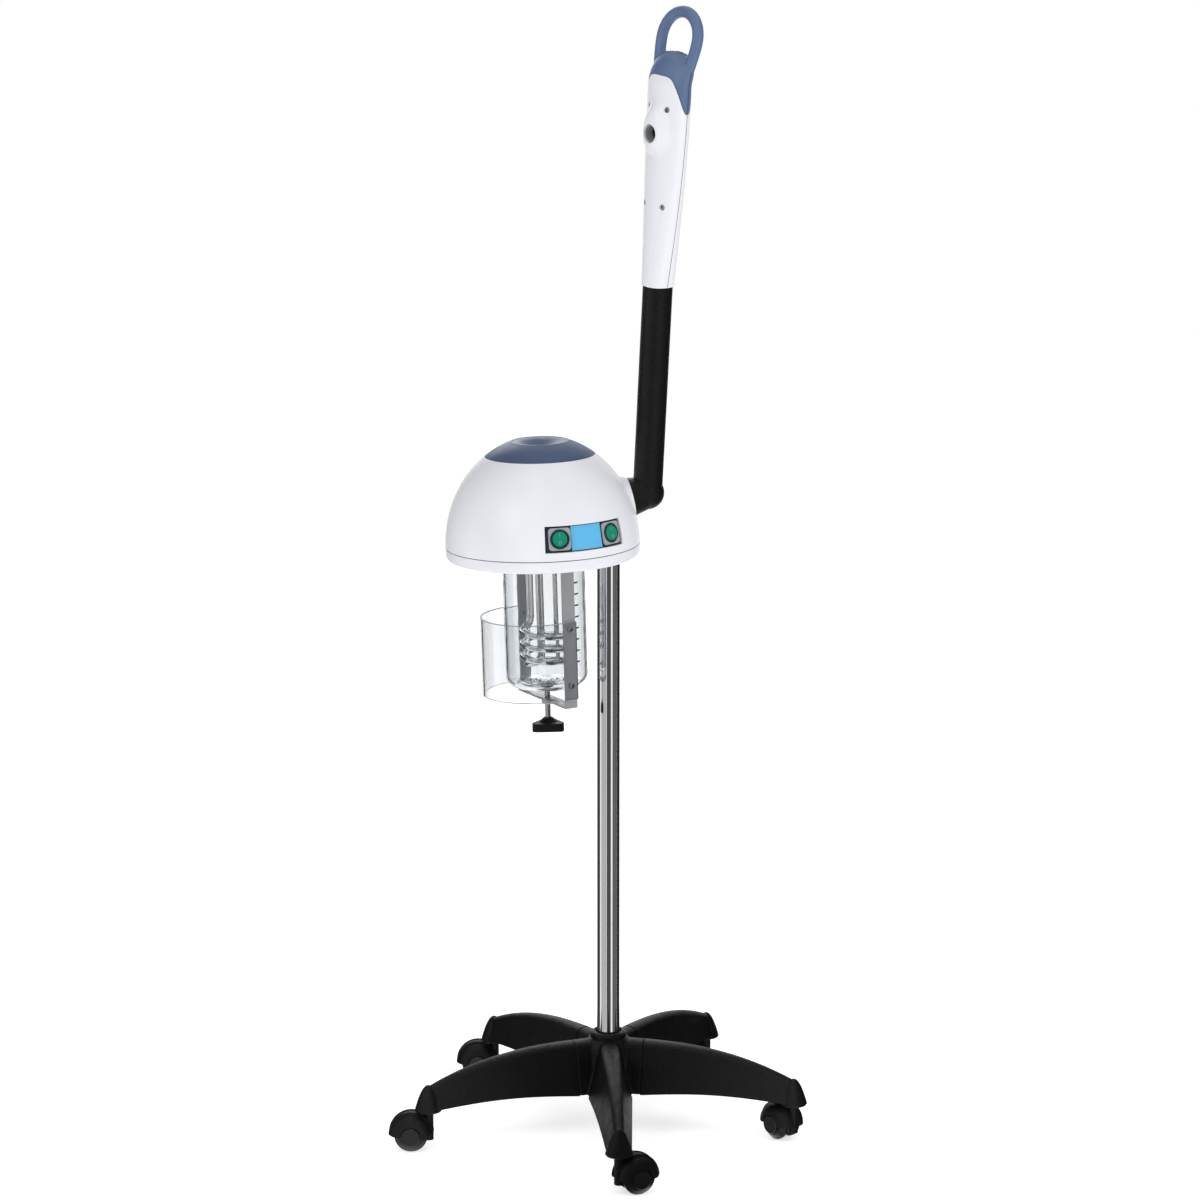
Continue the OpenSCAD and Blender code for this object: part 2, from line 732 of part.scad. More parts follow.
// The heater's tube goes down, winds two turns and comes up again inside the coil
coil_rise = 14;
coil_bend = 30;
coil_sweep = 690;
coil_sides = 8;
coil_base = -jar_drop + coil_low;
coil_head = coil_base + coil_pitch * (coil_sweep - 360) / 360;
coil_top = plate_z + plate_t + 8;
coil_end = coil_turn + coil_bend + coil_sweep;
core_turn = coil_end + 100;
function coil_start() = [coil_r * cos(coil_turn), coil_r * sin(coil_turn)];
function coil_finish() = [core_r * cos(core_turn), core_r * sin(core_turn)];
function on_coil(r, t, z) = [r * cos(t), r * sin(t), z];
function coil_path() = concat(
  [for (k = [0:5]) on_coil(coil_r, coil_turn,
    coil_top + (coil_head + coil_pitch + coil_rise - coil_top) * k / 5)],
  [for (k = [1:4]) on_coil(coil_r, coil_turn + coil_bend * (1 - cos(90 * k / 4)),
    coil_head + coil_pitch + coil_rise * (1 - sin(90 * k / 4)))],
  [for (t = [15:15:coil_sweep]) on_coil(coil_r, coil_turn + coil_bend + t,
    coil_head + coil_pitch + (coil_base - coil_head - coil_pitch) * t / coil_sweep)],
  [for (k = [1:6]) on_coil(coil_r + (core_r - coil_r) * smooth(k / 6), coil_end + 100 * k / 6,
    coil_base + coil_rise * pow(k / 6, 3))],
  [for (k = [1:5]) on_coil(core_r, core_turn,
    coil_base + coil_rise + (coil_top - coil_base - coil_rise) * k / 5)]);
function unit(v) = v / norm(v);
function tube_rings(path, r, sides) = [for (k = [0:len(path) - 1])
  let (
    t = unit(path[min(k + 1, len(path) - 1)] - path[max(k - 1, 0)]),
    side = unit(cross(t, abs(t[2]) > 0.9 ? [cos(coil_turn), sin(coil_turn), 0] : [0, 0, 1])),
    up = cross(side, t)
  ) [for (j = [0:sides - 1]) path[k] + r * (cos(360 * j / sides) * side + sin(360 * j / sides) * up)]];

// Least distance between two stretches of the heater's tube, from each point to each segment
function to_segment(p, a, b) =
  let (d = b - a, k = max(0, min(1, (p - a) * d / (d * d)))) norm(p - a - k * d);
function coil_gap() = let (path = coil_path(), n = len(path), apart = 3 * coil_d) min(
  [for (i = [0:n - 1]) for (j = [0:n - 2]) let (way = run_between(path, i, j)) if (way > apart)
    to_segment(path[i], path[j], path[j + 1])]) - coil_d;
function run_between(path, i, j) = i > j + 1 ? run_sum(path, j + 1, i) : i < j ? run_sum(path, i, j) : 0;
function run_sum(path, from, to) =
  from >= to ? 0 : norm(path[from + 1] - path[from]) + run_sum(path, from + 1, to);

module heater_coil() {
  echo(coil_least_gap = coil_gap());
  color([0.62, 0.62, 0.6]) head_place() bar_through(tube_rings(coil_path(), coil_d / 2, coil_sides));
}

module level_probe() {
  reach = [coil_low + 8, coil_low + 34];
  color([0.5, 0.5, 0.5]) head_place() for (k = [0, 1])
    translate(concat(probe_places[k], -jar_drop + reach[k]))
      cylinder(d = probe_d, h = coil_top - reach[k] + jar_drop);
}

// The steam's way from the plate's outlet up to the boss

module duct_drop(r, low, high) {
  foot = boss_reach + outlet_x * cos(boss_rise);
  rotate([0, 0, boss_turn]) translate([foot, 0, low]) cylinder(r = r, h = high - low);
}

module steam_duct() {
  wall = 2;
  bend_z = boss_h + outlet_x * sin(boss_rise);
  low = plate_z + plate_t + fit;
  color([0.85, 0.85, 0.82]) head_place() difference() {
    union() {
      boss_rod(outlet_x - duct_r - wall, -spigot_l - gap, duct_r, duct_r);
      duct_drop(duct_r - 0.5, low, bend_z);
    }
    boss_rod(outlet_x - duct_r + wall, -spigot_l + over, duct_r - wall, duct_r - wall);
    duct_drop(duct_r - wall - 0.5, low - over, bend_z);
  }
}

// Electrics on the cover's floor

module control_board() {
  size = [36, 56, 1.6];
  transformer = [26, 22, 19];
  relay = [18, 14, 12];
  spacer_d = 5;
  spacer_in = 4;
  floor_z = cover_wall - cover_h + fit;
  legs = 7;
  color([0.1, 0.35, 0.2]) head_place() translate([-plate_r - size[0] / 2 - 4, 0, floor_z]) {
    translate([-size[0] / 2, -size[1] / 2, legs]) cube(size);
    for (x = [-1, 1]) for (y = [-1, 1])
      translate([x * (size[0] / 2 - spacer_in), y * (size[1] / 2 - spacer_in), 0])
        cylinder(d = spacer_d, h = legs + size[2] / 2);
    translate([-transformer[0] / 2, -transformer[1], legs + size[2] / 2]) cube(transformer);
    translate([-relay[0] / 2, 6, legs + size[2] / 2]) cube(relay);
  }
}

module ozone_lamp() {
  socket_d = 16;
  socket_h = 14;
  bulb_d = 11;
  bulb_h = 34;
  floor_z = cover_wall - cover_h + fit;
  color([0.88, 0.85, 0.95]) head_place() translate([0, -(plate_r + dome_r) / 2, floor_z]) {
    cylinder(d = socket_d, h = socket_h);
    translate([0, 0, socket_h - 1]) cylinder(d = bulb_d, h = bulb_h);
    translate([0, 0, socket_h - 1 + bulb_h]) sphere(d = bulb_d - 0.4);
  }
}

module gland_axis() {
  rotate([0, 0, gland_turn]) translate([gland_reach, 0, -cover_h]) children();
}

// The cord's gland through the cover's floor
module cord_gland() {
  flange_h = 5;
  sleeve_h = 12;
  nut_h = 3.5;
  color([0.1, 0.1, 0.11]) head_place() gland_axis() difference() {
    union() {
      translate([0, 0, -flange_h - fit]) cylinder(d = gland_d + 6, h = flange_h);
      translate([0, 0, -sleeve_h]) cylinder(d1 = gland_d - 1, d2 = gland_d + 1, h = sleeve_h - flange_h + 1);
      translate([0, 0, -flange_h]) cylinder(d = gland_d, h = cover_wall + 2 * flange_h);
      translate([0, 0, cover_wall + fit]) cylinder(d = gland_d + 7, h = nut_h, $fn = 6);
    }
    translate([0, 0, -sleeve_h - over]) cylinder(d = cord_d, h = 3 * sleeve_h);
  }
}

// Yoke, guard and clamp

module yoke() {
  foot_l = 10;
  top = -cover_h - fit;
  color([0.66, 0.67, 0.69]) head_place() difference() {
    union() {
      for (side = [-1, 1]) {
        translate([side * (strap_x + strap_t / 2) - strap_t / 2, -strap_w / 2, bar_low])
          cube([strap_t, strap_w, top - bar_low]);
        translate([side * (strap_x + foot_l / 2) - foot_l / 2, -strap_w / 2, top - strap_t])
          cube([foot_l, strap_w, strap_t]);
      }
      translate([-strap_x - 0.5, -strap_w / 2, bar_low]) cube([2 * strap_x + 1, strap_w, strap_t]);
      translate([0, 0, bar_low - bush_h + 0.5]) cylinder(d = bush_d, h = bush_h);
    }
    translate([0, 0, bar_low - 2 * bush_h]) cylinder(d = screw_d + 2 * fit, h = 4 * bush_h);
    for (z = screw_rows) translate([0, 0, z]) rotate([0, 90, 0])
      cylinder(d = tap_d + 2 * fit, h = 3 * strap_out, center = true);
  }
}

// Half a ring round the front of the jar, with straight ends along the straps
module guard() {
  in = strap_out + fit;
  color([0.85, 0.93, 0.97, 0.3]) head_place() difference() {
    translate([0, 0, guard_z]) {
      translate([0, -guard_tab, 0]) rotate([0, 0, 180]) rotate_extrude(angle = 180)
        translate([in, 0]) square([guard_t, guard_h]);
      for (side = [-1, 1]) translate([side * (in + guard_t / 2) - guard_t / 2, -guard_tab, 0])
        cube([guard_t, guard_tab + strap_w / 2, guard_h]);
    }
    for (z = screw_rows) translate([0, 0, z]) rotate([0, 90, 0])
      cylinder(d = tap_d + 2 * fit, h = 3 * strap_out, center = true);
  }
}

module guard_screws() {
  head_d = 6.4;
  head_h = 2;
  length = guard_t + strap_t + 2;
  face = strap_out + guard_t + 2 * fit;
  color("silver") head_place() for (z = screw_rows) for (side = [-1, 1])
    translate([0, 0, z]) rotate([0, side * 90, 0]) {
      translate([0, 0, face]) cylinder(d1 = head_d, d2 = head_d - 2, h = head_h);
      translate([0, 0, face - length]) cylinder(d = tap_d, h = length + 0.5);
    }
}

module clamp_pad() {
  color([0.14, 0.14, 0.15]) head_place() translate([0, 0, -jar_drop - gap - pad_t]) difference() {
    cylinder(d1 = pad_d - 6, d2 = pad_d, h = pad_t);
    translate([0, 0, -over]) cylinder(d = screw_d + 2 * fit, h = screw_in + over);
  }
}

module clamp_screw() {
  top = -jar_drop - gap - pad_t + screw_in - gap;
  color("silver") head_place() translate([0, 0, knob_low + 3]) cylinder(d = screw_d, h = top - knob_low - 3);
}

// A knob of three lobes with a raised middle
module clamp_knob() {
  lobe_r = 6;
  reach = knob_d / 2 - lobe_r;
  rise = 6;
  color([0.08, 0.08, 0.09]) head_place() translate([0, 0, knob_low]) difference() {
    union() {
      linear_extrude(knob_h) hull() for (t = [0:120:240])
        rotate(t + 30) translate([reach, 0]) circle(lobe_r, $fn = 32);
      translate([0, 0, knob_h - 0.5]) cylinder(d1 = 0.55 * knob_d, d2 = screw_d + 4, h = rise);
    }
    translate([0, 0, 3 - fit]) cylinder(d = screw_d + 2 * fit, h = knob_h + rise + over);
  }
}

// Arm, in a frame at the elbow with +Z along the arm

module arm_place() {
  head_place() boss_place() translate([elbow_reach, 0, 0]) rotate([arm_swing, 0, 0])
    rotate([0, arm_lean, 0]) children();
}

module arm_tube() {
  bend_r = arm_turn_r;
  color([0.06, 0.06, 0.065]) difference() {
    union() {
      head_place() boss_rod(gap, elbow_reach, boss_r, bend_r - 1);
      head_place() boss_rod(-spigot_l, gap + 1, spigot_d / 2, spigot_d / 2);
      arm_place() sphere(r = bend_r);
      arm_place() cylinder(d = arm_d, h = arm_l);
    }
    head_place() boss_rod(-spigot_l - over, elbow_reach, arm_bore / 2 - 1, arm_bore / 2 - 1);
    arm_place() sphere(r = arm_bore / 2 - 0.5);
    arm_place() cylinder(d = arm_bore, h = arm_l + over);
  }
}

module arm_retainer() {
  color([0.3, 0.3, 0.32]) head_place() difference() {
    boss_rod(-spigot_l, -boss_in - gap, spigot_d / 2 + 4, spigot_d / 2 + 4);
    boss_rod(-spigot_l - over, -boss_in, spigot_d / 2 + fit, spigot_d / 2 + fit);
  }
}

// Wand, in a frame at the top of the arm with the nozzle towards -Y

module wand_place() {
  arm_place() translate([0, 0, arm_l + gap]) rotate([0, 0, wand_turn]) children();
}

function bulge(h) = sin(90 * min(h / wand_bulge, 1));
function crown(h) = max(0, (h - lean_from) / (crown_h - lean_from));
function half_w(h) = (wand_r + (wand_half - wand_r) * sin(90 * min(h / wide_from, 1)))
  * (1 - 0.12 * pow(crown(h), 3));
function thin(h) = sqrt(max(0.08, 1 - pow(crown(h), 2.6)));
function depth_front(h) = (wand_r + (wand_front + wand_centre - wand_r) * bulge(h)) * thin(h);
function depth_back(h) = (wand_r + (wand_back - wand_centre - wand_r) * bulge(h)) * thin(h);
function back_of(h) = wand_centre * bulge(h) + tan(loop_lean) * max(0, h - lean_from);

// A point of the wand's skin at an angle t round it and a height h, moved in by inset
function wand_point(t, h, inset) = [
  (half_w(h) - inset) * signed_power(cos(t), 0.9),
  back_of(h) + ((sin(t) < 0 ? depth_front(h) : depth_back(h)) - inset) * signed_power(sin(t), 0.9),
  h];

// Height of the edge between the white shells and the blue handle
function arch(t) = arch_side + (arch_top - arch_side) * smooth(pow(abs(sin(t)), 1.1));

module wand_half_shell(from) {
  rows = 16;
  columns = 24;
  function grid(inset) = [for (i = [0:rows]) [for (j = [0:columns])
    let (t = from + 180 * j / columns) wand_point(t, (arch(t) - seam) * i / rows, inset)]];
  wall_between(grid(0), grid(wand_wall));
}

// A rod towards the front, between two distances in front of the arm's axis
module front_rod(x, h, from, to, r1, r2) {
  translate([x, -from, h]) rotate([90, 0, 0]) cylinder(r1 = r1, r2 = r2, h = to - from);
}

module at_screws() {
  for (side = [-1, 1]) for (h = screw_hs) translate([side * screw_x, 0, h]) children();
}

// Distance of the middle of the wand's wall from the arm's axis at a place x, in front or behind
function wall_front(x, h) = -wand_point(-acos(pow(x / mid_w(h), 1 / 0.9)), h, wand_wall / 2)[1];
function wall_back(x, h) = wand_point(acos(pow(x / mid_w(h), 1 / 0.9)), h, wand_wall / 2)[1];
function mid_w(h) = half_w(h) - wand_wall / 2;

module wand_front_shell() {
  nose = nozzle_r + 9;
  low = wand_front - 4;
  color([0.94, 0.94, 0.96]) wand_place() translate([0, -seam / 2, 0]) difference() {
    union() {
      wand_half_shell(180);
      translate([0, 0, nozzle_h]) rotate([90, 0, 0]) rotate_extrude() polygon([[nozzle_r, low],
        [nose, low], [nose - 3, wand_front + 0.5], [nose - 5, wand_front + 4],
        [nozzle_r + 3, nozzle_reach - 1], [nozzle_r + 2, nozzle_reach], [nozzle_r, nozzle_reach]]);
      for (side = [-1, 1]) for (h = screw_hs)
        front_rod(side * screw_x, h, 1, wall_front(screw_x + seat_r, h), seat_r, seat_r);
    }
    front_rod(0, nozzle_h, 0, nozzle_reach + over, nozzle_r + 2 * fit, nozzle_r + 2 * fit);
    at_screws() front_rod(0, 0, head_low - fit - seam / 2, 40, screw_head_r + fit, screw_head_r + fit);
    at_screws() front_rod(0, 0, 0, head_low, shank_r + fit, shank_r + fit);
  }
}

module wand_rear_shell() {
  color([0.93, 0.93, 0.95]) wand_place() translate([0, seam / 2, 0]) difference() {
    union() {
      wand_half_shell(0);
      for (side = [-1, 1]) for (h = screw_hs)
        front_rod(side * screw_x, h, -wall_back(screw_x + post_r, h), 0, post_r, post_r);
    }
    at_screws() front_rod(0, 0, -shank_in - over, over, shank_r + fit, shank_r + fit);
  }
}

module wand_screws() {
  color([0.45, 0.46, 0.48]) wand_place() at_screws() {
    front_rod(0, 0, head_low, head_low + 3, screw_head_r, screw_head_r);
    front_rod(0, 0, -shank_in, head_low + 1, shank_r, shank_r);
  }
}

// The handle: a cap over the top of the wand, with a loop that leans back
module wand_handle() {
  rows = 9;
  columns = 48;
  function grid(inset, top) = [for (i = [0:rows]) [for (j = [0:columns - 1])
    let (t = 360 * j / columns, k = sin(90 * i / rows))
    wand_point(t, arch(t) + (top - arch(t)) * k, inset)]];
  color([0.36, 0.44, 0.6]) wand_place() {
    wall_between(grid(0, crown_h), grid(wand_wall, crown_h - 9), closed = true);
    translate([0, back_of(lean_from), lean_from]) rotate([-loop_lean, 0, 0]) handle_loop();
  }
}

module handle_loop() {
  sides = 12;
  half = wand_half - 1.5;
  tuck = 8;
  foot = -8;
  shoulder = 50;
  top = (loop_h - lean_from) / cos(loop_lean);
  steps = 14;
  rise = 5;
  // Centre line as [x, z, direction], out of one side of the cap, over an ellipse and back
  leg = [for (k = [0:rise - 1])
    [half - tuck * (1 - smooth(k / rise)), foot + (shoulder - foot) * k / rise, 0]];
  line = concat(leg,
    [for (k = [0:steps]) let (a = 180 * k / steps)
      [half * cos(a), shoulder + (top - shoulder) * sin(a),
        atan2((top - shoulder) * cos(a), -half * sin(a)) - 90]],
    [for (p = reversed(leg)) [-p[0], p[1], 180]]);
  function ring(p) = [for (j = [0:sides - 1]) let (a = 360 * j / sides, out = loop_w / 2 * cos(a))
    [p[0] + out * cos(p[2]), loop_t / 2 * sin(a), p[1] + out * sin(p[2])]];
  bar_through([for (p = line) ring(p)]);
}

// The steam pipe turns in the top of the arm and carries the wand
module steam_pipe() {
  wall = 2;
  flange_r = wand_r - wand_wall - 0.5;
  top = nozzle_h + tube_r + 2;
  color([0.8, 0.8, 0.78]) wand_place() difference() {
    union() {
      translate([0, 0, -pipe_in]) cylinder(r = pipe_r, h = pipe_in + 3);
      translate([0, 0, 1]) cylinder(r = flange_r, h = 4);
      cylinder(r = tube_r, h = top);
      front_rod(0, nozzle_h, 0, nozzle_reach - 15 - fit, branch_r, branch_r);
    }
    translate([0, 0, -pipe_in - over]) cylinder(r = pipe_r - wall, h = pipe_in + over);
    translate([0, 0, -over]) cylinder(r = tube_r - wall, h = top - wall + over);
    front_rod(0, nozzle_h, 0, nozzle_reach, branch_r - wall, branch_r - wall);
  }
}

// The outlet's sleeve in the nose, with the jets in its floor
module nozzle() {
  back = nozzle_reach - 15;
  face = nozzle_reach - 1.5;
  floor_t = 3;
  sleeve_wall = 1.5;
  main_jet_r = 2;
  jets = 6;
  jet_r = 1.2;
  jet_ring = 3.4;
  color([0.58, 0.59, 0.6]) wand_place() difference() {
    front_rod(0, nozzle_h, back, face, nozzle_r, nozzle_r);
    front_rod(0, nozzle_h, back + floor_t, face + over, nozzle_r - sleeve_wall, nozzle_r - sleeve_wall);
    front_rod(0, nozzle_h, back - over, face, main_jet_r, main_jet_r);
    for (k = [0:jets - 1]) let (a = 360 * k / jets)
      front_rod(jet_ring * cos(a), nozzle_h + jet_ring * sin(a), back - over, face, jet_r, jet_r);
  }
}

// Drawing

base_hub();
leg_bolts();
pole();
pole_collar();
pole_socket();
bottom_cover();
dome_shell();
dome_cap();
control_panel();
switch_housings();
rocker(-1);  // rocker_steam
rocker(1);  // rocker_ozone
jar();
jar_gasket();
heater_plate();
heater_coil();
level_probe();
steam_duct();
control_board();
ozone_lamp();
cord_gland();
yoke();
guard();
guard_screws();
clamp_pad();
clamp_screw();
clamp_knob();
arm_tube();
arm_retainer();
steam_pipe();
wand_front_shell();
wand_rear_shell();
wand_handle();
nozzle();
wand_screws();
for (i = LEGS) {
  leg(i);
  caster_frame(i);
  caster_pins(i);
  wheel(i, 1);
  wheel(i, -1);
}
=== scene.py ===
"""Looks of a facial steamer on a five-star caster base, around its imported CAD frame."""

import json
import math

import bpy
from mathutils import Matrix, Vector


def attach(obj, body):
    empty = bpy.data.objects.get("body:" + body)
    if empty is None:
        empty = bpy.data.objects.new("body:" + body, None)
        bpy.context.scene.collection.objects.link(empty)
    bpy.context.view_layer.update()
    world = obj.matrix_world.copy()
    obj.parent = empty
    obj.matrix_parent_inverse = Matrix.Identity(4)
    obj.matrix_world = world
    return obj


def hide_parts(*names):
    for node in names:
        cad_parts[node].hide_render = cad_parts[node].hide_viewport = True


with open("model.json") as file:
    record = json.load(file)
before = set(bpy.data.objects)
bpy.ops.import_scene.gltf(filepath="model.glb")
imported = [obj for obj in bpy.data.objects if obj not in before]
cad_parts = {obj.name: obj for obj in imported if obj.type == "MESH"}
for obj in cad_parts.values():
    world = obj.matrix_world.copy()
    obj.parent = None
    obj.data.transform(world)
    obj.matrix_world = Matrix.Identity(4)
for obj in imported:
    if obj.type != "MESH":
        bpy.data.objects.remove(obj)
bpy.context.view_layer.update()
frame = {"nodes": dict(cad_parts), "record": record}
nodes = frame["nodes"]
MM = 0.001

# Sizes of the part in millimetres, as its source has them
LEGS = range(1, 6)
STEM_CIRCLE, LEG_TURN, LEG_STEP, HUB_REACH = 233, -26, 72, 47
LEG_LOW, LEG_H, LEG_DROP, LEG_RISE = 51, 63, 36, 6
LEG_W, LEG_END_W, RIDGE_W, LEG_WALL = 54, 30, 24, 3
BELL_D, BELL_Z, BELL_LIP, COLLAR_D = 33, 48, 1.5, 44
BELL_TOP = LEG_LOW + LEG_H - LEG_DROP + 2.2
SEAM_Z, HEAD_REACH, HEAD_TILT = 737, 89, 1.8
DOME_R, DOME_RISE = 115, 128.5
PANEL_LOW, PANEL_HIGH, PANEL_SINK, SWITCH_TURN, ROCKER_R, ROCKER_TILT = 10, 39.5, 2.5, 17.5, 9, 8
JAR_D, JAR_DROP, JAR_WALL, JAR_ROUND, JAR_RIM = 98, 171, 3, 14, 4
GUARD_IN, GUARD_T, GUARD_H, GUARD_LOW, GUARD_TAB, STRAP_W = 60.25, 3, 92, -6, 16, 16
COIL_R, COIL_LOW = 26, 24
BOSS_TURN, BOSS_RISE, BOSS_REACH, BOSS_H = 70.5, 11.3, 107, 50
ELBOW_REACH, ARM_D, ARM_L, ARM_SWING, ARM_LEAN = 20.5, 35, 250, 7, 14.2
WAND_TURN, ARCH_TOP, ARCH_SIDE, CROWN_H, LOOP_H = -65, 244, 203, 271, 314
WAND_HALF, WAND_BACK, WAND_FRONT, WAND_CENTRE, WAND_WALL = 34, 17, 13.4, 4, 2.5
WAND_R, WAND_BULGE, WIDE_FROM, LEAN_FROM, LOOP_LEAN = ARM_D / 2 + 0.7, 200, 220, 235, 11
LOOP_W, LOOP_T, NOZZLE_H, NOZZLE_REACH, NOZZLE_R = 14, 12.5, 178, 23, 10.8
SCREW_X, SCREW_HS, SCREW_HEAD_R = 16.5, (ARCH_SIDE - 108, ARCH_SIDE + 4), 3.4
GAP, SEAM = 0.4, 0.2


# Frames of the part, in millimetres

def move(x, y, z):
    return Matrix.Translation((x, y, z))


def turn(axis, degrees):
    return Matrix.Rotation(math.radians(degrees), 4, axis)


HEAD = move(0, -HEAD_REACH, SEAM_Z) @ turn("X", HEAD_TILT)
BOSS = HEAD @ turn("Z", BOSS_TURN) @ move(BOSS_REACH, 0, BOSS_H) @ turn("Y", -BOSS_RISE)
ARM = BOSS @ move(ELBOW_REACH, 0, 0) @ turn("X", ARM_SWING) @ turn("Y", ARM_LEAN)
WAND = ARM @ move(0, 0, ARM_L + GAP) @ turn("Z", WAND_TURN)


# Curves and steps

def smooth(t):
    t = min(max(t, 0), 1)
    return t * t * (3 - 2 * t)


def signed_power(value, power):
    return math.copysign(abs(value) ** power, value)


def sin(degrees):
    return math.sin(math.radians(degrees))


def cos(degrees):
    return math.cos(math.radians(degrees))


# Meshes, given in millimetres in a frame of the part

def new_piece(name, points, faces, place, body, slot, material):
    mesh = bpy.data.meshes.new(name)
    mesh.from_pydata([place @ Vector(p) * MM for p in points], [], faces)
    mesh.update()
    piece = bpy.data.objects.new(name, mesh)
    bpy.context.scene.collection.objects.link(piece)
    mesh.materials.append(material)
    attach(piece, body)
    return piece


def grid_faces(rows, columns, start=0, flip=False, ring=False):
    """Quads over a grid of points whose rows go up and whose columns go round anticlockwise."""
    faces = []
    for i in range(rows - 1):
        for j in range(columns if ring else columns - 1):
            k = (j + 1) % columns
            quad = (start + i * columns + j, start + i * columns + k,
                    start + (i + 1) * columns + k, start + (i + 1) * columns + j)
            faces.append(quad[::-1] if flip else quad)
    return faces


def shell(outer, inner, ring=False):
    """Points and faces of a closed wall between two grids, capped at the top where it is a ring."""
    rows, columns = len(outer), len(outer[0])
    shift = rows * columns
    points = [p for row in outer for p in row] + [p for row in inner for p in row]
    faces = grid_faces(rows, columns, 0, False, ring) + grid_faces(rows, columns, shift, True, ring)
    top = (rows - 1) * columns
    last = columns if ring else columns - 1
    for j in range(last):
        k = (j + 1) % columns
        faces.append((k, j, shift + j, shift + k))
        if not ring:
            faces.append((top + j, top + k, shift + top + k, shift + top + j))
    if ring:
        faces.append(tuple(top + j for j in range(columns)))
        faces.append(tuple(shift + top + j for j in reversed(range(columns))))
    else:
        edge = columns - 1
        for i in range(rows - 1):
            a, b = i * columns, (i + 1) * columns
            faces.append((a, b, shift + b, shift + a))
            faces.append((b + edge, a + edge, shift + a + edge, shift + b + edge))
    return points, faces


def bar(rings):
    """Points and faces of a bar through rings of points, closed at both ends."""
    columns = len(rings[0])
    points = [p for ring in rings for p in ring]
    faces = grid_faces(len(rings), columns, 0, False, True)
    last = (len(rings) - 1) * columns
    faces.append(tuple(reversed(range(columns))))
    faces.append(tuple(last + j for j in range(columns)))
    return points, faces


def revolve(profile, steps=64):
    """Points and faces of a closed solid of revolution about Z, from [r, z] points going up."""
    rings = [[(r * cos(360 * j / steps), r * sin(360 * j / steps), z) for j in range(steps)]
             for r, z in profile]
    return bar(rings)


def joined(*parts):
    points, faces = [], []
    for part_points, part_faces in parts:
        start = len(points)
        points += part_points
        faces += [tuple(start + k for k in face) for face in part_faces]
    return points, faces


def apply_modifiers(piece):
    bpy.context.view_layer.update()
    shaped = piece.evaluated_get(bpy.context.evaluated_depsgraph_get())
    mesh = bpy.data.meshes.new_from_object(shaped)
    piece.modifiers.clear()
    piece.data = mesh


def shade(piece, sharp=40):
    piece.data.shade_smooth()
    piece.data.set_sharp_from_angle(angle=math.radians(sharp))


def melt(piece, voxel, rounds, factor=0.5):
    """Joins a piece's overlapping forms into one skin and rounds their meeting edges."""
    remesh = piece.modifiers.new("join", "REMESH")
    remesh.mode = "VOXEL"
    remesh.voxel_size = voxel * MM
    soften = piece.modifiers.new("round", "SMOOTH")
    soften.factor = factor
    soften.iterations = rounds
    apply_modifiers(piece)
    piece.data.shade_smooth()


def combine(piece, operation, points, faces, place):
    """Cuts a closed form out of a piece with DIFFERENCE, or joins it on with UNION."""
    mesh = bpy.data.meshes.new("form")
    mesh.from_pydata([place @ Vector(p) * MM for p in points], [], faces)
    form = bpy.data.objects.new("form", mesh)
    bpy.context.scene.collection.objects.link(form)
    step = piece.modifiers.new("combine", "BOOLEAN")
    step.object = form
    step.operation = operation
    step.solver = "EXACT"
    apply_modifiers(piece)
    bpy.data.objects.remove(form)


def front_rod(x, h, start, end, r, steps=48):
    """A rod along the wand's -Y, between two distances in front of the arm's axis."""
    rings = [[(x + r * cos(360 * j / steps), -q, h + r * sin(360 * j / steps)) for j in range(steps)]
             for q in (start, end)]
    return bar(rings)


# Materials

def new_material(name):
    material = bpy.data.materials.new(name)
    material.use_nodes = True
    tree = material.node_tree
    return material, tree, tree.nodes["Principled BSDF"]


def noise(tree, scale, detail=4, stretch=(1, 1, 1)):
    """A noise over the object's own coordinates, in cycles a metre."""
    place = tree.nodes.new("ShaderNodeTexCoord")
    spread = tree.nodes.new("ShaderNodeMapping")
    spread.inputs["Scale"].default_value = stretch
    texture = tree.nodes.new("ShaderNodeTexNoise")
    texture.inputs["Scale"].default_value = scale
    texture.inputs["Detail"].default_value = detail
    tree.links.new(place.outputs["Object"], spread.inputs["Vector"])
    tree.links.new(spread.outputs["Vector"], texture.inputs["Vector"])
    return texture.outputs["Fac"]


def mapped(tree, value, low, high, start=0.3, end=0.7):
    spread = tree.nodes.new("ShaderNodeMapRange")
    spread.inputs["From Min"].default_value = start
    spread.inputs["From Max"].default_value = end
    spread.inputs["To Min"].default_value = low
    spread.inputs["To Max"].default_value = high
    tree.links.new(value, spread.inputs["Value"])
    return spread.outputs["Result"]


def tinted(tree, value, first, second):
    ramp = tree.nodes.new("ShaderNodeValToRGB")
    ramp.color_ramp.elements[0].position = 0.35
    ramp.color_ramp.elements[1].position = 0.65
    ramp.color_ramp.elements[0].color = (*first, 1)
    ramp.color_ramp.elements[1].color = (*second, 1)
    tree.links.new(value, ramp.inputs["Fac"])
    return ramp.outputs["Color"]


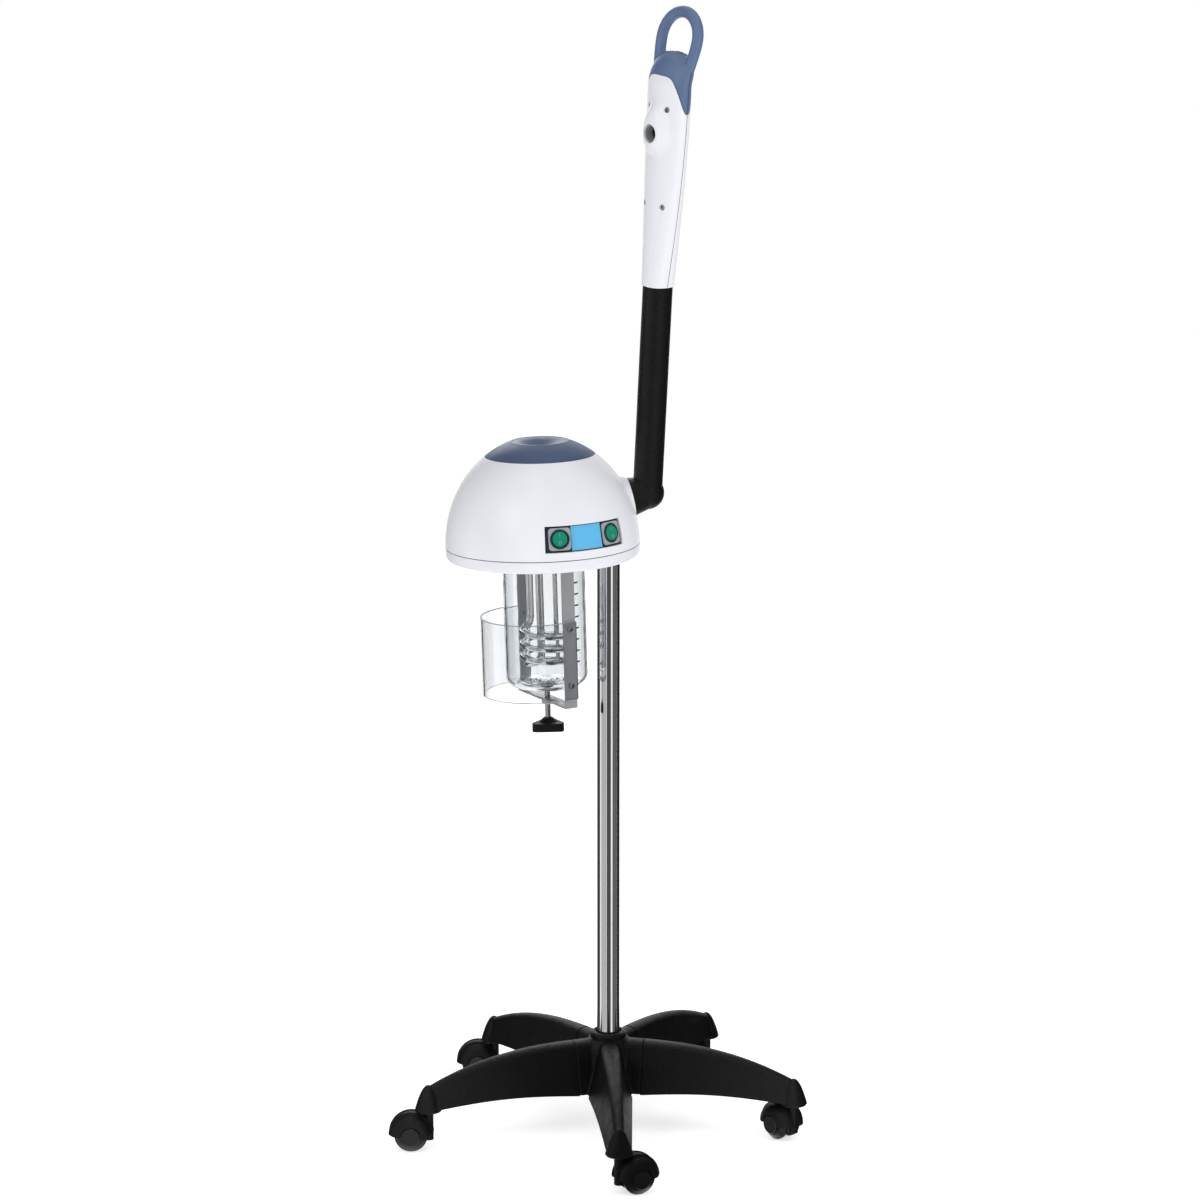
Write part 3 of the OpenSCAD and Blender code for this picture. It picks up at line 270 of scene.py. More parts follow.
def surface(name, colour, roughness, *, metal=0, grain=900, depth=0.02, wear=0.06, shift=0.06,
            stretch=(1, 1, 1), specular=0.5, round_edge=0.0):
    """A solid material with fine grain, patches of wear in its gloss and a slight drift in colour."""
    material, tree, shader = new_material(name)
    shader.inputs["Metallic"].default_value = metal
    shader.inputs["Specular IOR Level"].default_value = specular
    darker = tuple(c * (1 - shift) for c in colour)
    patches = noise(tree, 14, 5)
    tree.links.new(tinted(tree, patches, darker, colour), shader.inputs["Base Color"])
    tree.links.new(mapped(tree, noise(tree, 60, 6), roughness - wear, roughness + wear),
                   shader.inputs["Roughness"])
    bump = tree.nodes.new("ShaderNodeBump")
    bump.inputs["Strength"].default_value = 1
    bump.inputs["Distance"].default_value = depth * MM
    tree.links.new(noise(tree, grain, 3, stretch), bump.inputs["Height"])
    if round_edge:
        bevel = tree.nodes.new("ShaderNodeBevel")
        bevel.samples = 4
        bevel.inputs["Radius"].default_value = round_edge * MM
        tree.links.new(bevel.outputs["Normal"], bump.inputs["Normal"])
    tree.links.new(bump.outputs["Normal"], shader.inputs["Normal"])
    return material


def clear(name, colour, roughness, ior, ripple, ripple_scale):
    """A clear material with faint ripples of its moulding."""
    material, tree, shader = new_material(name)
    shader.inputs["Base Color"].default_value = (*colour, 1)
    shader.inputs["Transmission Weight"].default_value = 1
    shader.inputs["IOR"].default_value = ior
    tree.links.new(mapped(tree, noise(tree, 40, 4), 0, roughness), shader.inputs["Roughness"])
    bump = tree.nodes.new("ShaderNodeBump")
    bump.inputs["Distance"].default_value = ripple * MM
    tree.links.new(noise(tree, ripple_scale, 2), bump.inputs["Height"])
    tree.links.new(bump.outputs["Normal"], shader.inputs["Normal"])
    return material


WHITE = surface("white_plastic", (0.775, 0.785, 0.825), 0.30, grain=420, depth=0.003, wear=0.025,
                shift=0.012, round_edge=0.8)
BLUE = surface("blue_plastic", (0.10, 0.155, 0.285), 0.40, grain=900, depth=0.05, shift=0.08, round_edge=0.6)
# The cap's blue is the handle's blue made darker: painted shade on the cap's top, which the lamps light more
# than the handle.
SHADED_CAP_BLUE = surface("cap_plastic_painted_shade", (0.052, 0.084, 0.162), 0.42, grain=900, depth=0.05, shift=0.08,
                   specular=0.3, round_edge=0.6)
BLACK = surface("black_plastic", (0.003, 0.003, 0.0035), 0.46, grain=460, depth=1.1, wear=0.06, shift=0.25,
                specular=0.26, round_edge=0.8)
ARM_BLACK = surface("arm_plastic", (0.004, 0.004, 0.005), 0.42, grain=460, depth=0.9, shift=0.25,
                    specular=0.32)
CHROME = surface("chrome", (0.82, 0.83, 0.85), 0.07, metal=1, grain=300, depth=0.003, wear=0.03, shift=0.03)
STEEL = surface("steel", (0.46, 0.45, 0.43), 0.17, metal=1, grain=600, depth=0.01, shift=0.12)
HEATER = surface("heater_steel", (0.86, 0.86, 0.87), 0.07, metal=1, grain=500, depth=0.01, shift=0.15)
DARK_STEEL = surface("dark_steel", (0.50, 0.51, 0.52), 0.45, metal=0.6, grain=900, depth=0.01, shift=0.15)
ALUMINIUM = surface("aluminium", (0.55, 0.56, 0.59), 0.42, metal=0.6, grain=260, depth=0.015, shift=0.06,
                    stretch=(6, 6, 0.3), round_edge=0.4)
PANEL = surface("panel_plastic", (0.012, 0.035, 0.045), 0.36, grain=1200, depth=0.02, shift=0.2)
LABEL = surface("panel_label", (0.11, 0.47, 0.78), 0.34, grain=1400, depth=0.008, shift=0.05)
GREY = surface("grey_plastic", (0.33, 0.34, 0.36), 0.44, grain=1300, depth=0.02, round_edge=0.4)
GREEN = surface("green_plastic", (0.005, 0.26, 0.16), 0.22, grain=900, depth=0.01, shift=0.15, round_edge=0.4)
RUBBER = surface("rubber", (0.006, 0.006, 0.007), 0.58, specular=0.24, grain=1200, depth=0.05, shift=0.25)
TYRE = surface("tyre", (0.005, 0.005, 0.006), 0.30, specular=0.40, grain=900, depth=0.08, shift=0.3,
               round_edge=0.3)
SILICONE = surface("silicone", (0.55, 0.56, 0.58), 0.55, grain=900, depth=0.02)
PIPE = surface("pipe_plastic", (0.6, 0.59, 0.54), 0.5, grain=900, depth=0.03)
BOARD = surface("board", (0.03, 0.14, 0.07), 0.4, grain=500, depth=0.05, shift=0.3)
LAMP = surface("lamp_glass", (0.6, 0.58, 0.68), 0.2, grain=300, depth=0.01)
MARK = surface("mark", (0.10, 0.10, 0.11), 0.5, grain=900, depth=0.01)
PRINT = surface("print", (0.035, 0.04, 0.045), 0.6, grain=900, depth=0.01, specular=0.2)
GLASS = clear("glass", (0.90, 0.915, 0.925), 0.02, 1.46, 0.3, 34)
CLEAR = clear("clear_plastic", (0.87, 0.885, 0.90), 0.05, 1.40, 0.05, 14)
# Grey of the strips on the clear guard's edges: painted shade for how those clear edges show dark.
EDGE = surface("guard_edge_painted_shade", (0.27, 0.29, 0.31), 0.35, grain=800, depth=0.01, shift=0.1)

BY_SLOT = {
    "white_plastic": WHITE, "blue_plastic": BLUE, "black_plastic": BLACK, "arm_plastic": ARM_BLACK,
    "chrome": CHROME, "steel": STEEL, "dark_steel": DARK_STEEL, "aluminium": ALUMINIUM,
    "panel_plastic": PANEL, "grey_plastic": GREY, "green_plastic": GREEN, "rubber": RUBBER, "tyre": TYRE,
    "silicone": SILICONE, "pipe_plastic": PIPE, "board": BOARD, "lamp_glass": LAMP, "glass": GLASS,
    "clear_plastic": CLEAR,
}
for part in frame["record"]["subparts"]:
    for holder in nodes[part["node"]].material_slots:
        holder.material = BY_SLOT[part["material_slot"]]


# Base: the legs and the hub, with the moulding's rounded edges

RIDGE_TAPER, RIDGE_INSET, DROP_POWER, SIDE_POWER, SHOULDER = 0.45, 0.7, 2.4, 0.8, 8
LEG_SHORT, PLATE_IN, PLATE_OUT, PLATE_SHARE = 3, 4, 6, 0.03


def leg_section(share, inset=0.0, steps=14):
    """A leg's [y, z] section at a share of its run, from one lower edge over the ridge to the other."""
    low = (LEG_W + (LEG_END_W - LEG_W) * share) / 2 - inset
    high = RIDGE_W * (1 - RIDGE_TAPER * share) / 2 - RIDGE_INSET * inset
    foot = LEG_LOW + LEG_RISE * sin(180 * share)
    top = LEG_LOW + LEG_H - LEG_DROP * max(share, 0) ** DROP_POWER - inset
    side = [(low + (high - low) * (k / steps) ** SIDE_POWER, foot + (top - SHOULDER - foot) * k / steps)
            for k in range(steps + 1)]
    crown = [(high * cos(t), top - SHOULDER + SHOULDER * sin(t)) for t in (12, 24, 36, 48, 60, 70, 80)]
    half = side + crown
    return half + [(0, top)] + [(-y, z) for y, z in reversed(half)]


def leg_wall_form():
    run = STEM_CIRCLE - HUB_REACH
    first, last, steps = HUB_REACH + SEAM, STEM_CIRCLE - LEG_SHORT, 48
    stations = [first + (last - first) * k / steps for k in range(steps + 1)]
    return shell(*[[[(r, y, z) for y, z in leg_section((r - HUB_REACH) / run, inset)] for r in stations]
                   for inset in (0, LEG_WALL)])


def leg_plate_form():
    """The plate that closes a leg's root, and reaches into the hub so that no light shows between them."""
    return bar([[(r, y, z) for y, z in leg_section(PLATE_SHARE, 0.7 * LEG_WALL)]
                for r in (HUB_REACH - PLATE_IN, HUB_REACH + PLATE_OUT)])


def bell_form():
    """The bullet-shaped bell over the caster's stem, with a small lip at its foot."""
    rise, steps, tip = BELL_TOP - BELL_Z - BELL_LIP, 20, 0.3
    flare = [(max(BELL_D / 2 * cos(90 * k / steps), tip), BELL_Z + BELL_LIP + rise * sin(90 * k / steps) ** 2)
             for k in range(steps + 1)]
    points, faces = revolve([(tip, BELL_Z), (BELL_D / 2 - 1, BELL_Z)] + flare, 72)
    return [(x + STEM_CIRCLE, y, z) for x, y, z in points], faces


def make_legs():
    first = None
    for i in LEGS:
        heading = turn("Z", LEG_TURN + LEG_STEP * (i - 1))
        if first is None:
            leg = new_piece("leg_shell_1", *leg_wall_form(), Matrix(), "stand", "black_plastic", BLACK)
            for form in (leg_plate_form(), bell_form()):
                combine(leg, "UNION", *form, Matrix())
            shade(leg, 32)
            first = leg
        else:
            leg = bpy.data.objects.new(f"leg_shell_{i}", first.data)
            bpy.context.scene.collection.objects.link(leg)
            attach(leg, "stand")
        leg.matrix_world = heading
        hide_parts(f"leg_{i}")


def hub_form():
    foot, top = LEG_LOW + 2, LEG_LOW + LEG_H
    wide, waist, neck, taper_h, tip = 0.76 * HUB_REACH, 0.72 * HUB_REACH, 0.62 * HUB_REACH, 10, 0.5
    core = revolve([(tip, foot), (wide, foot), (waist, LEG_LOW + taper_h), (neck, top - taper_h),
                    (COLLAR_D / 2 + 1.5, top + 1), (tip, top + 1)])
    bars = []
    for i in LEGS:
        heading = turn("Z", LEG_TURN + LEG_STEP * (i - 1))
        bars.append(bar([[tuple(heading @ Vector((r, y, z))) for y, z in leg_section(0)]
                         for r in (0.3 * HUB_REACH, HUB_REACH)]))
    return joined(core, *bars)


def make_hub():
    hub = new_piece("hub_casting", *hub_form(), Matrix(), "stand", "black_plastic", BLACK)
    melt(hub, 1.2, 10)
    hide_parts("base_hub")


make_legs()
make_hub()


# Heater: a pair of tubes wound side by side in the jar

COIL_TURN, COIL_BEND, COIL_SWEEP, COIL_RISE, CORE_R, CORE_SWEEP, COIL_PITCH = 195, 30, 1050, 14, 9, 100, 15
COIL_TOP, PAIR_D, PAIR_STEP = 19, 5.4, 6.2


def coil_points(coil_r, core_r):
    """The tube's line: down one side, three turns round, then in and up through the middle."""
    base = COIL_LOW - JAR_DROP
    head = base + COIL_PITCH * COIL_SWEEP / 360
    end = COIL_TURN + COIL_BEND + COIL_SWEEP

    def at(r, t, z):
        return Vector((r * cos(t), r * sin(t), z))

    down = [at(coil_r, COIL_TURN, COIL_TOP + (head + COIL_RISE - COIL_TOP) * k / 5) for k in range(6)]
    bend = [at(coil_r, COIL_TURN + COIL_BEND * (1 - cos(90 * k / 8)),
               head + COIL_RISE * (1 - sin(90 * k / 8))) for k in range(1, 9)]
    wound = [at(coil_r, COIL_TURN + COIL_BEND + t, head + (base - head) * t / COIL_SWEEP)
             for t in range(6, COIL_SWEEP + 1, 6)]
    inward = [at(coil_r + (core_r - coil_r) * smooth(k / 12), end + CORE_SWEEP * k / 12,
                 base + COIL_RISE * (k / 12) ** 3) for k in range(1, 13)]
    up = [at(core_r, end + CORE_SWEEP, base + COIL_RISE + (COIL_TOP - base - COIL_RISE) * k / 5)
          for k in range(1, 6)]
    return down + bend + wound + inward + up


def tube(name, points, place, diameter, body, material):
    curve = bpy.data.curves.new(name, "CURVE")
    curve.dimensions = "3D"
    curve.bevel_depth = diameter / 2 * MM
    curve.bevel_resolution = 5
    curve.use_fill_caps = True
    line = curve.splines.new("POLY")
    line.points.add(len(points) - 1)
    for knot, point in zip(line.points, points):
        knot.co = (*(place @ point * MM), 1)
    line.use_smooth = True
    curve.materials.append(material)
    piece = bpy.data.objects.new(name, curve)
    bpy.context.scene.collection.objects.link(piece)
    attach(piece, body)
    return piece


for name, shift in (("heater_tube_outer", PAIR_STEP / 2), ("heater_tube_inner", -PAIR_STEP / 2)):
    heater = tube(name, coil_points(COIL_R + shift, CORE_R + shift), HEAD, PAIR_D, "stand", HEATER)
    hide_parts("heater_coil")
for holder in nodes["level_probe"].material_slots:
    holder.material = HEATER
# The cap takes the darker copy of the blue, which paints shade on its lit top.
for holder in nodes["dome_cap"].material_slots:
    holder.material = SHADED_CAP_BLUE


# Jar: blown glass with a pushed-up bottom, and plain measuring ticks beside the near strap

TICKS, TICK_LOW, TICK_STEP, TICK_FROM, TICK_SPAN, TICK_W = 10, -138, 13.6, 17, 9, 1.9
PRINT_T = 0.12


def jar_form():
    out, low, steps, rings = JAR_D / 2, -JAR_DROP, 10, 60
    heel, push, ripple, waves = out - JAR_ROUND, 4, 0.45, 5

    def ripples(share):
        return ripple * sin(180 * share) * cos(360 * waves * share)

    shares = [k / rings for k in range(2, rings + 1)]
    outside = [(0.5, low + push)]
    outside += [(heel * share, low + push * cos(90 * share ** 3) + ripples(share)) for share in shares]
    outside += [(heel + JAR_ROUND * sin(90 * k / steps), low + JAR_ROUND * (1 - cos(90 * k / steps)))
                for k in range(1, steps + 1)]
    rim = [(out, JAR_RIM - 1), (out - 1, JAR_RIM),
           (out - JAR_WALL + 1, JAR_RIM), (out - JAR_WALL, JAR_RIM - 1)]
    inner = JAR_ROUND - JAR_WALL
    inside = [(heel + inner * sin(90 * k / steps), low + JAR_WALL + inner * (1 - cos(90 * k / steps)))
              for k in range(steps, 0, -1)]
    inside += [(heel * share, low + JAR_WALL + 1.2 * push * cos(90 * share ** 2) - ripples(share))
               for share in shares[-2::-1]]
    inside.append((0.5, low + JAR_WALL + 1.2 * push))
    return revolve(outside + rim + inside, 128)


def make_jar():
    jar = new_piece("jar_glass", *jar_form(), HEAD, "stand", "glass", GLASS)
    shade(jar, 30)
    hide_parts("jar")


def guard_line(offset, steps=40):
    """The guard's outline from above, at a distance out of its inner face."""
    r = GUARD_IN + offset
    arc = [(-r * cos(180 * k / steps), -GUARD_TAB - r * sin(180 * k / steps)) for k in range(steps + 1)]
    return [(-r, STRAP_W / 2)] + arc + [(r, STRAP_W / 2)]


def make_guard_edges():
    """Grey strips along the clear guard's top and bottom cut edges: painted shade where its clear edges show
    dark.
    """
    inset, proud = 0.15, 0.6
    low = -JAR_DROP + GUARD_LOW
    inner, outer = guard_line(inset), guard_line(GUARD_T - inset)
    strips = []
    for a, b in ((low - proud, low - 0.02), (low + GUARD_H + 0.02, low + GUARD_H + proud)):
        rings = [[(*p, a), (*p, b), (*q, b), (*q, a)] for p, q in zip(inner, outer)]
        strips.append(bar(rings))
    edges = new_piece("guard_edge_shade", *joined(*strips), HEAD, "stand", "clear_plastic", EDGE)
    shade(edges)


def curved_strip(r, start, span, low, high, thick, steps=10):
    """A thin strip bent round the Z axis."""
    grids = []
    for depth in (thick, 0):
        turns = [start + span * j / steps for j in range(steps + 1)]
        grids.append([[((r + depth) * cos(t), (r + depth) * sin(t), z) for t in turns] for z in (low, high)])
    return shell(*grids)


def make_ticks():
    strips = [curved_strip(JAR_D / 2 + 0.03, TICK_FROM, TICK_SPAN, TICK_LOW + TICK_STEP * k,
                           TICK_LOW + TICK_STEP * k + TICK_W, PRINT_T) for k in range(TICKS)]
    new_piece("jar_ticks", *joined(*strips), HEAD, "stand", "rubber", PRINT)


make_jar()
make_guard_edges()
make_ticks()


# Panel: the label between the switches, a ring round each rocker and the marks on it

LABEL_HALF, LABEL_EDGE, LABEL_T = 10.2, 0.8, 0.3
PLATE_TOP, PIVOT_Z, ROCKER_TOP, MARK_X, MARK_T, LIFT = 2.2, 0.6, 3.3, 4.3, 0.1, 0.02


def dome_at(h):
    return DOME_R * math.sqrt(1 - (h / DOME_RISE) ** 2)


PANEL_SLOPE = math.degrees(math.atan2(dome_at(PANEL_LOW) - dome_at(PANEL_HIGH), PANEL_HIGH - PANEL_LOW))
PANEL_MID = (PANEL_LOW + PANEL_HIGH) / 2


def panel_r(h):
    return dome_at(PANEL_LOW) - PANEL_SINK - (h - PANEL_LOW) * math.tan(math.radians(PANEL_SLOPE))


def switch_place(side):
    return (HEAD @ turn("Z", side * SWITCH_TURN) @ move(panel_r(PANEL_MID), 0, PANEL_MID)
            @ turn("Y", 90 - PANEL_SLOPE))


def make_label():
    steps = 24
    grids = []
    for lift in (LABEL_T, 0.05):
        grids.append([[((panel_r(h) + lift) * cos(t), (panel_r(h) + lift) * sin(t), h)
                       for t in (-LABEL_HALF + 2 * LABEL_HALF * j / steps for j in range(steps + 1))]
                      for h in (PANEL_LOW + LABEL_EDGE, PANEL_HIGH - LABEL_EDGE)])
    label = new_piece("panel_label", *shell(*grids), HEAD, "stand", "blue_plastic", LABEL)
    shade(label)


def ring_form(inner, outer, low, high, steps=72):
    soft = (high - low) / 2
    profile = [(inner, low), (outer, low), (outer, high - soft), (outer - soft, high),
               (inner + soft / 2, high), (inner, high - soft / 2)]
    rings = [[(r * cos(360 * j / steps), r * sin(360 * j / steps), z) for j in range(steps)]
             for r, z in profile]
    points = [p for ring in rings for p in ring]
    faces = grid_faces(len(rings), steps, 0, False, True)
    last = (len(rings) - 1) * steps
    faces += [(last + j, last + (j + 1) % steps, (j + 1) % steps, j) for j in range(steps)]
    return points, faces


def box_form(x, y, low, w, d, h):
    corners = ((-1, -1), (1, -1), (1, 1), (-1, 1))
    points = [(x + sx * w / 2, y + sy * d / 2, z) for z in (low, low + h) for sx, sy in corners]
    return points, [(3, 2, 1, 0), (4, 5, 6, 7), (0, 1, 5, 4), (1, 2, 6, 5), (2, 3, 7, 6), (3, 0, 4, 7)]


def make_dome_seam():
    """The dark line between the dome and its bottom cover."""
    seam = new_piece("dome_seam", *ring_form(DOME_R - 1.4, DOME_R - 0.1, -0.85, -0.05, 180), HEAD, "stand",
                     "grey_plastic", MARK)
    shade(seam)


def make_switch_details():
    for side, name in ((-1, "rocker_steam"), (1, "rocker_ozone")):
        place = switch_place(side)
        ring = ring_form(ROCKER_R + 0.35, ROCKER_R + 2.4, PLATE_TOP + LIFT, PLATE_TOP + 1)
        ring = new_piece(f"{name}_ring", *ring, place, "stand", "panel_plastic", PANEL)
        shade(ring)
        tipped = place @ move(0, 0, PIVOT_Z) @ turn("Y", -ROCKER_TILT)
        off = ring_form(1.3, 1.9, ROCKER_TOP + LIFT, ROCKER_TOP + LIFT + MARK_T, 32)
        off = ([(x + MARK_X, y, z) for x, y, z in off[0]], off[1])
        on = box_form(-MARK_X, 0, ROCKER_TOP + LIFT, 3.4, 0.6, MARK_T)
        new_piece(f"{name}_marks", *joined(off, on), tipped, name, "grey_plastic", GREY)


make_label()
make_dome_seam()
make_switch_details()


# Wand: two smooth shells, the blended handle and the sunk screws

CORNER_POWER, ARCH_POWER, CROWN_POWER, CROWN_LEAST, CROWN_PINCH, CROWN_T = 0.9, 1.1, 2.6, 0.08, 0.12, 9
CROWN_DROP, GROOVE_TOP, SEAM_SHOW, SLEEVE_DEEP = 9, 252, 0.7, 12


def bulge(h):
    return sin(90 * min(h / WAND_BULGE, 1))


def crown(h):
    return max(0, (h - LEAN_FROM) / (CROWN_H - LEAN_FROM))


def thin(h):
    return math.sqrt(max(CROWN_LEAST, 1 - crown(h) ** CROWN_POWER))


def half_width(h):
    widened = WAND_R + (WAND_HALF - WAND_R) * sin(90 * min(h / WIDE_FROM, 1))
    return widened * (1 - CROWN_PINCH * crown(h) ** 3)


def depth_front(h):
    return (WAND_R + (WAND_FRONT + WAND_CENTRE - WAND_R) * bulge(h)) * thin(h)


def depth_back(h):
    return (WAND_R + (WAND_BACK - WAND_CENTRE - WAND_R) * bulge(h)) * thin(h)


def wand_middle(h):
    return WAND_CENTRE * bulge(h) + math.tan(math.radians(LOOP_LEAN)) * max(0, h - LEAN_FROM)


def nose_rise(x, h):
    """How far the nozzle's nose stands out of the wand's front."""
    stretch_up, stretch_down, fall = 0.62, 0.85, 1.5
    rise = h - NOZZLE_H
    reach = math.hypot(x, rise * (stretch_up if rise > 0 else stretch_down))
    inner, outer = NOZZLE_R + 1.6, NOZZLE_R + 17
    return (NOZZLE_REACH - WAND_FRONT) * (1 - smooth((reach - inner) / (outer - inner))) ** fall


def wand_point(t, h, inset, nose=False):
    x = (half_width(h) - inset) * signed_power(cos(t), CORNER_POWER)
    depth = depth_front(h) if sin(t) < 0 else depth_back(h)
    y = wand_middle(h) + (depth - inset) * signed_power(sin(t), CORNER_POWER)
    return (x, y - nose_rise(x, h) if nose else y, h)


def arch(t):
    return ARCH_SIDE + (ARCH_TOP - ARCH_SIDE) * smooth(abs(sin(t)) ** ARCH_POWER)


def half_shell(start, nose):
    rows, columns = 110, 84
    grids = []
    for inset in (0, WAND_WALL):
        grids.append([[wand_point(t, (arch(t) - SEAM) * i / rows, inset, nose)
                       for t in (start + 180 * j / columns for j in range(columns + 1))]
                      for i in range(rows + 1)])
    return shell(*grids)


def make_wand():
    front = new_piece("wand_front", *half_shell(180, True), WAND @ move(0, -SEAM_SHOW / 2, 0), "wand",
                      "white_plastic", WHITE)
    combine(front, "DIFFERENCE", *front_rod(0, NOZZLE_H, 0, 60, NOZZLE_R), WAND)
    for side in (-1, 1):
        for h in SCREW_HS:
            combine(front, "DIFFERENCE", *front_rod(side * SCREW_X, h, 0, 40, SCREW_HEAD_R), WAND)
    shade(front, 35)
    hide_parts("wand_front_shell")
    rear = new_piece("wand_rear", *half_shell(0, False), WAND @ move(0, SEAM_SHOW / 2, 0), "wand",
                     "white_plastic", WHITE)
    shade(rear, 35)
    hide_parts("wand_rear_shell")


def front_depth(x, h):
    """How far the wand's plain front stands before the arm's axis, at a place on it."""
    across = (abs(x) / half_width(h)) ** (1 / CORNER_POWER)
    return depth_front(h) * math.sqrt(1 - across ** 2) ** CORNER_POWER - wand_middle(h)


def make_screw_heads():
    """The heads of the wand's screws, sunk below its front, with their cross recesses."""
    r, sunk, thick, slot_w, slot_l, slot_deep = SCREW_HEAD_R - 0.15, 0.35, 2, 0.8, 4, 0.9
    places = [(side * SCREW_X, h) for side in (-1, 1) for h in SCREW_HS]
    faces_at = [front_depth(abs(x) + r, h) - sunk for x, h in places]
    heads = [front_rod(x, h, face - thick, face, r, 40) for (x, h), face in zip(places, faces_at)]
    screws = new_piece("wand_screw_heads", *joined(*heads), WAND, "wand", "dark_steel", DARK_STEEL)
    for (x, h), face in zip(places, faces_at):
        for w, l in ((slot_w, slot_l), (slot_l, slot_w)):
            slot = box_form(x, h, face - slot_deep, w, l, 2 * slot_deep)
            slot = ([(a, -c, b) for a, b, c in slot[0]], slot[1])
            combine(screws, "DIFFERENCE", *slot, WAND)
    shade(screws)
    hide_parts("wand_screws")


def make_seam_shade():
    """A dark strip sunk in the gap that the two shells leave at each side: painted shade along the joint
    between them.
    """
    sunk, deep, half, steps = 0.35, 1.9, 0.45, 60
    strips = []
    for side in (1, -1):
        rings = []
        for k in range(steps + 1):
            h = 1 + (ARCH_SIDE - 2) * k / steps
            x, y = half_width(h), wand_middle(h)
            ring = [(side * (x - deep), y - half, h), (side * (x - sunk), y - half, h),
                    (side * (x - sunk), y + half, h), (side * (x - deep), y + half, h)]
            rings.append(ring[::side])
        strips.append(bar(rings))
    new_piece("wand_seam_shade", *joined(*strips), WAND, "wand", "rubber", RUBBER)


def make_outlet():
    """The dark floor deep in the nozzle's sleeve."""
    floor = NOZZLE_REACH - SLEEVE_DEEP
    disc = front_rod(0, NOZZLE_H, floor + 0.05, floor + 0.4, NOZZLE_R - 1.6)
    new_piece("outlet_floor", *disc, WAND, "wand", "rubber", RUBBER)


def loop_form():
    """The handle's loop, out of one side of its cap, over an ellipse and back into the other."""
    half, tuck, foot, shoulder, steps, rise, sides = WAND_HALF - 1.5, 8, -8, 50, 40, 12, 28
    top = (LOOP_H - LEAN_FROM) / cos(LOOP_LEAN)
    leg = [(half - tuck * (1 - smooth(k / rise)), foot + (shoulder - foot) * k / rise, 0)
           for k in range(rise)]
    over = []
    for k in range(steps + 1):
        a = 180 * k / steps
        lead = math.degrees(math.atan2((top - shoulder) * cos(a), -half * sin(a))) - 90
        over.append((half * cos(a), shoulder + (top - shoulder) * sin(a), lead))
    line = leg + over + [(-x, z, 180) for x, z, _ in reversed(leg)]
    lean = move(0, WAND_CENTRE, LEAN_FROM) @ turn("X", -LOOP_LEAN)
    rings = []
    for x, z, lead in line:
        ring = []
        for j in range(sides):
            out, deep = LOOP_W / 2 * cos(360 * j / sides), LOOP_T / 2 * sin(360 * j / sides)
            ring.append(tuple(lean @ Vector((x + out * cos(lead), deep, z + out * sin(lead)))))
        rings.append(ring)
    return bar(rings)


def crown_point(t, h, inset):
    """A point of the handle's cap, whose crown is rounded down toward its sides."""
    x, y, z = wand_point(t, h, inset)
    return x, y, z - CROWN_DROP * (x / WAND_HALF) ** 2 * smooth((h - LEAN_FROM) / (CROWN_H - LEAN_FROM))


def groove_form(side):
    """The thin groove that carries the shells' seam up the handle's side."""
    deep, proud, half, steps = 0.9, 4, 0.4, 24
    rings = []
    for k in range(steps + 1):
        h = ARCH_SIDE - 2 + (GROOVE_TOP - ARCH_SIDE + 2) * k / steps
        x, y = half_width(h), wand_middle(h)
        ring = [(side * (x - deep), y - half, h), (side * (x + proud), y - half, h),
                (side * (x + proud), y + half, h), (side * (x - deep), y + half, h)]
        rings.append(ring[::side])
    return bar(rings)


def make_handle():
    rows, columns = 40, 120
    grids = []
    for inset, top in ((0, CROWN_H), (WAND_WALL, CROWN_H - CROWN_T)):
        grids.append([[crown_point(t, arch(t) + (top - arch(t)) * sin(90 * i / rows), inset)
                       for t in (360 * j / columns for j in range(columns))] for i in range(rows + 1)])
    handle = new_piece("handle_skin", *joined(shell(*grids, ring=True), loop_form()), WAND, "wand",
                       "blue_plastic", BLUE)
    melt(handle, 0.8, 14)
    for side in (-1, 1):
        combine(handle, "DIFFERENCE", *groove_form(side), WAND)
    shade(handle, 50)
    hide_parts("wand_handle")


make_wand()
make_screw_heads()
make_seam_shade()
make_outlet()
make_handle()


# Stage: camera, light and floor

CAMERA_AT = Vector((3.3104, -1.8466, 1.396))
CAMERA_TURN, CAMERA_PITCH = 61, 10.98
FOCAL = 3221.9 / 1200
SENSOR = 36
FILL = 0.45


def make_camera():
    camera = bpy.data.objects.new("camera", bpy.data.cameras.new("camera"))
    camera.data.sensor_width = SENSOR
    camera.data.lens = FOCAL * SENSOR
    camera.matrix_world = (Matrix.Translation(CAMERA_AT) @ turn("Z", CAMERA_TURN)
                           @ turn("X", 90 - CAMERA_PITCH))
    bpy.context.scene.collection.objects.link(camera)
    bpy.context.scene.camera = camera


def lamp(name, azimuth, height, distance, size, watts, mirrored, aim=0.75):
    """A soft box that looks at the object's middle, placed by its azimuth, counted from -Y round toward +X.
    """
    light = bpy.data.lights.new(name, "AREA")
    light.shape = "RECTANGLE"
    light.size, light.size_y = size
    light.energy = watts
    source = bpy.data.objects.new(name, light)
    place = Vector((distance * sin(azimuth), -distance * cos(azimuth), height))
    source.location = place
    source.rotation_euler = (place - Vector((0, 0, aim))).to_track_quat("Z", "Y").to_euler()
    source.visible_glossy = mirrored
    bpy.context.scene.collection.objects.link(source)


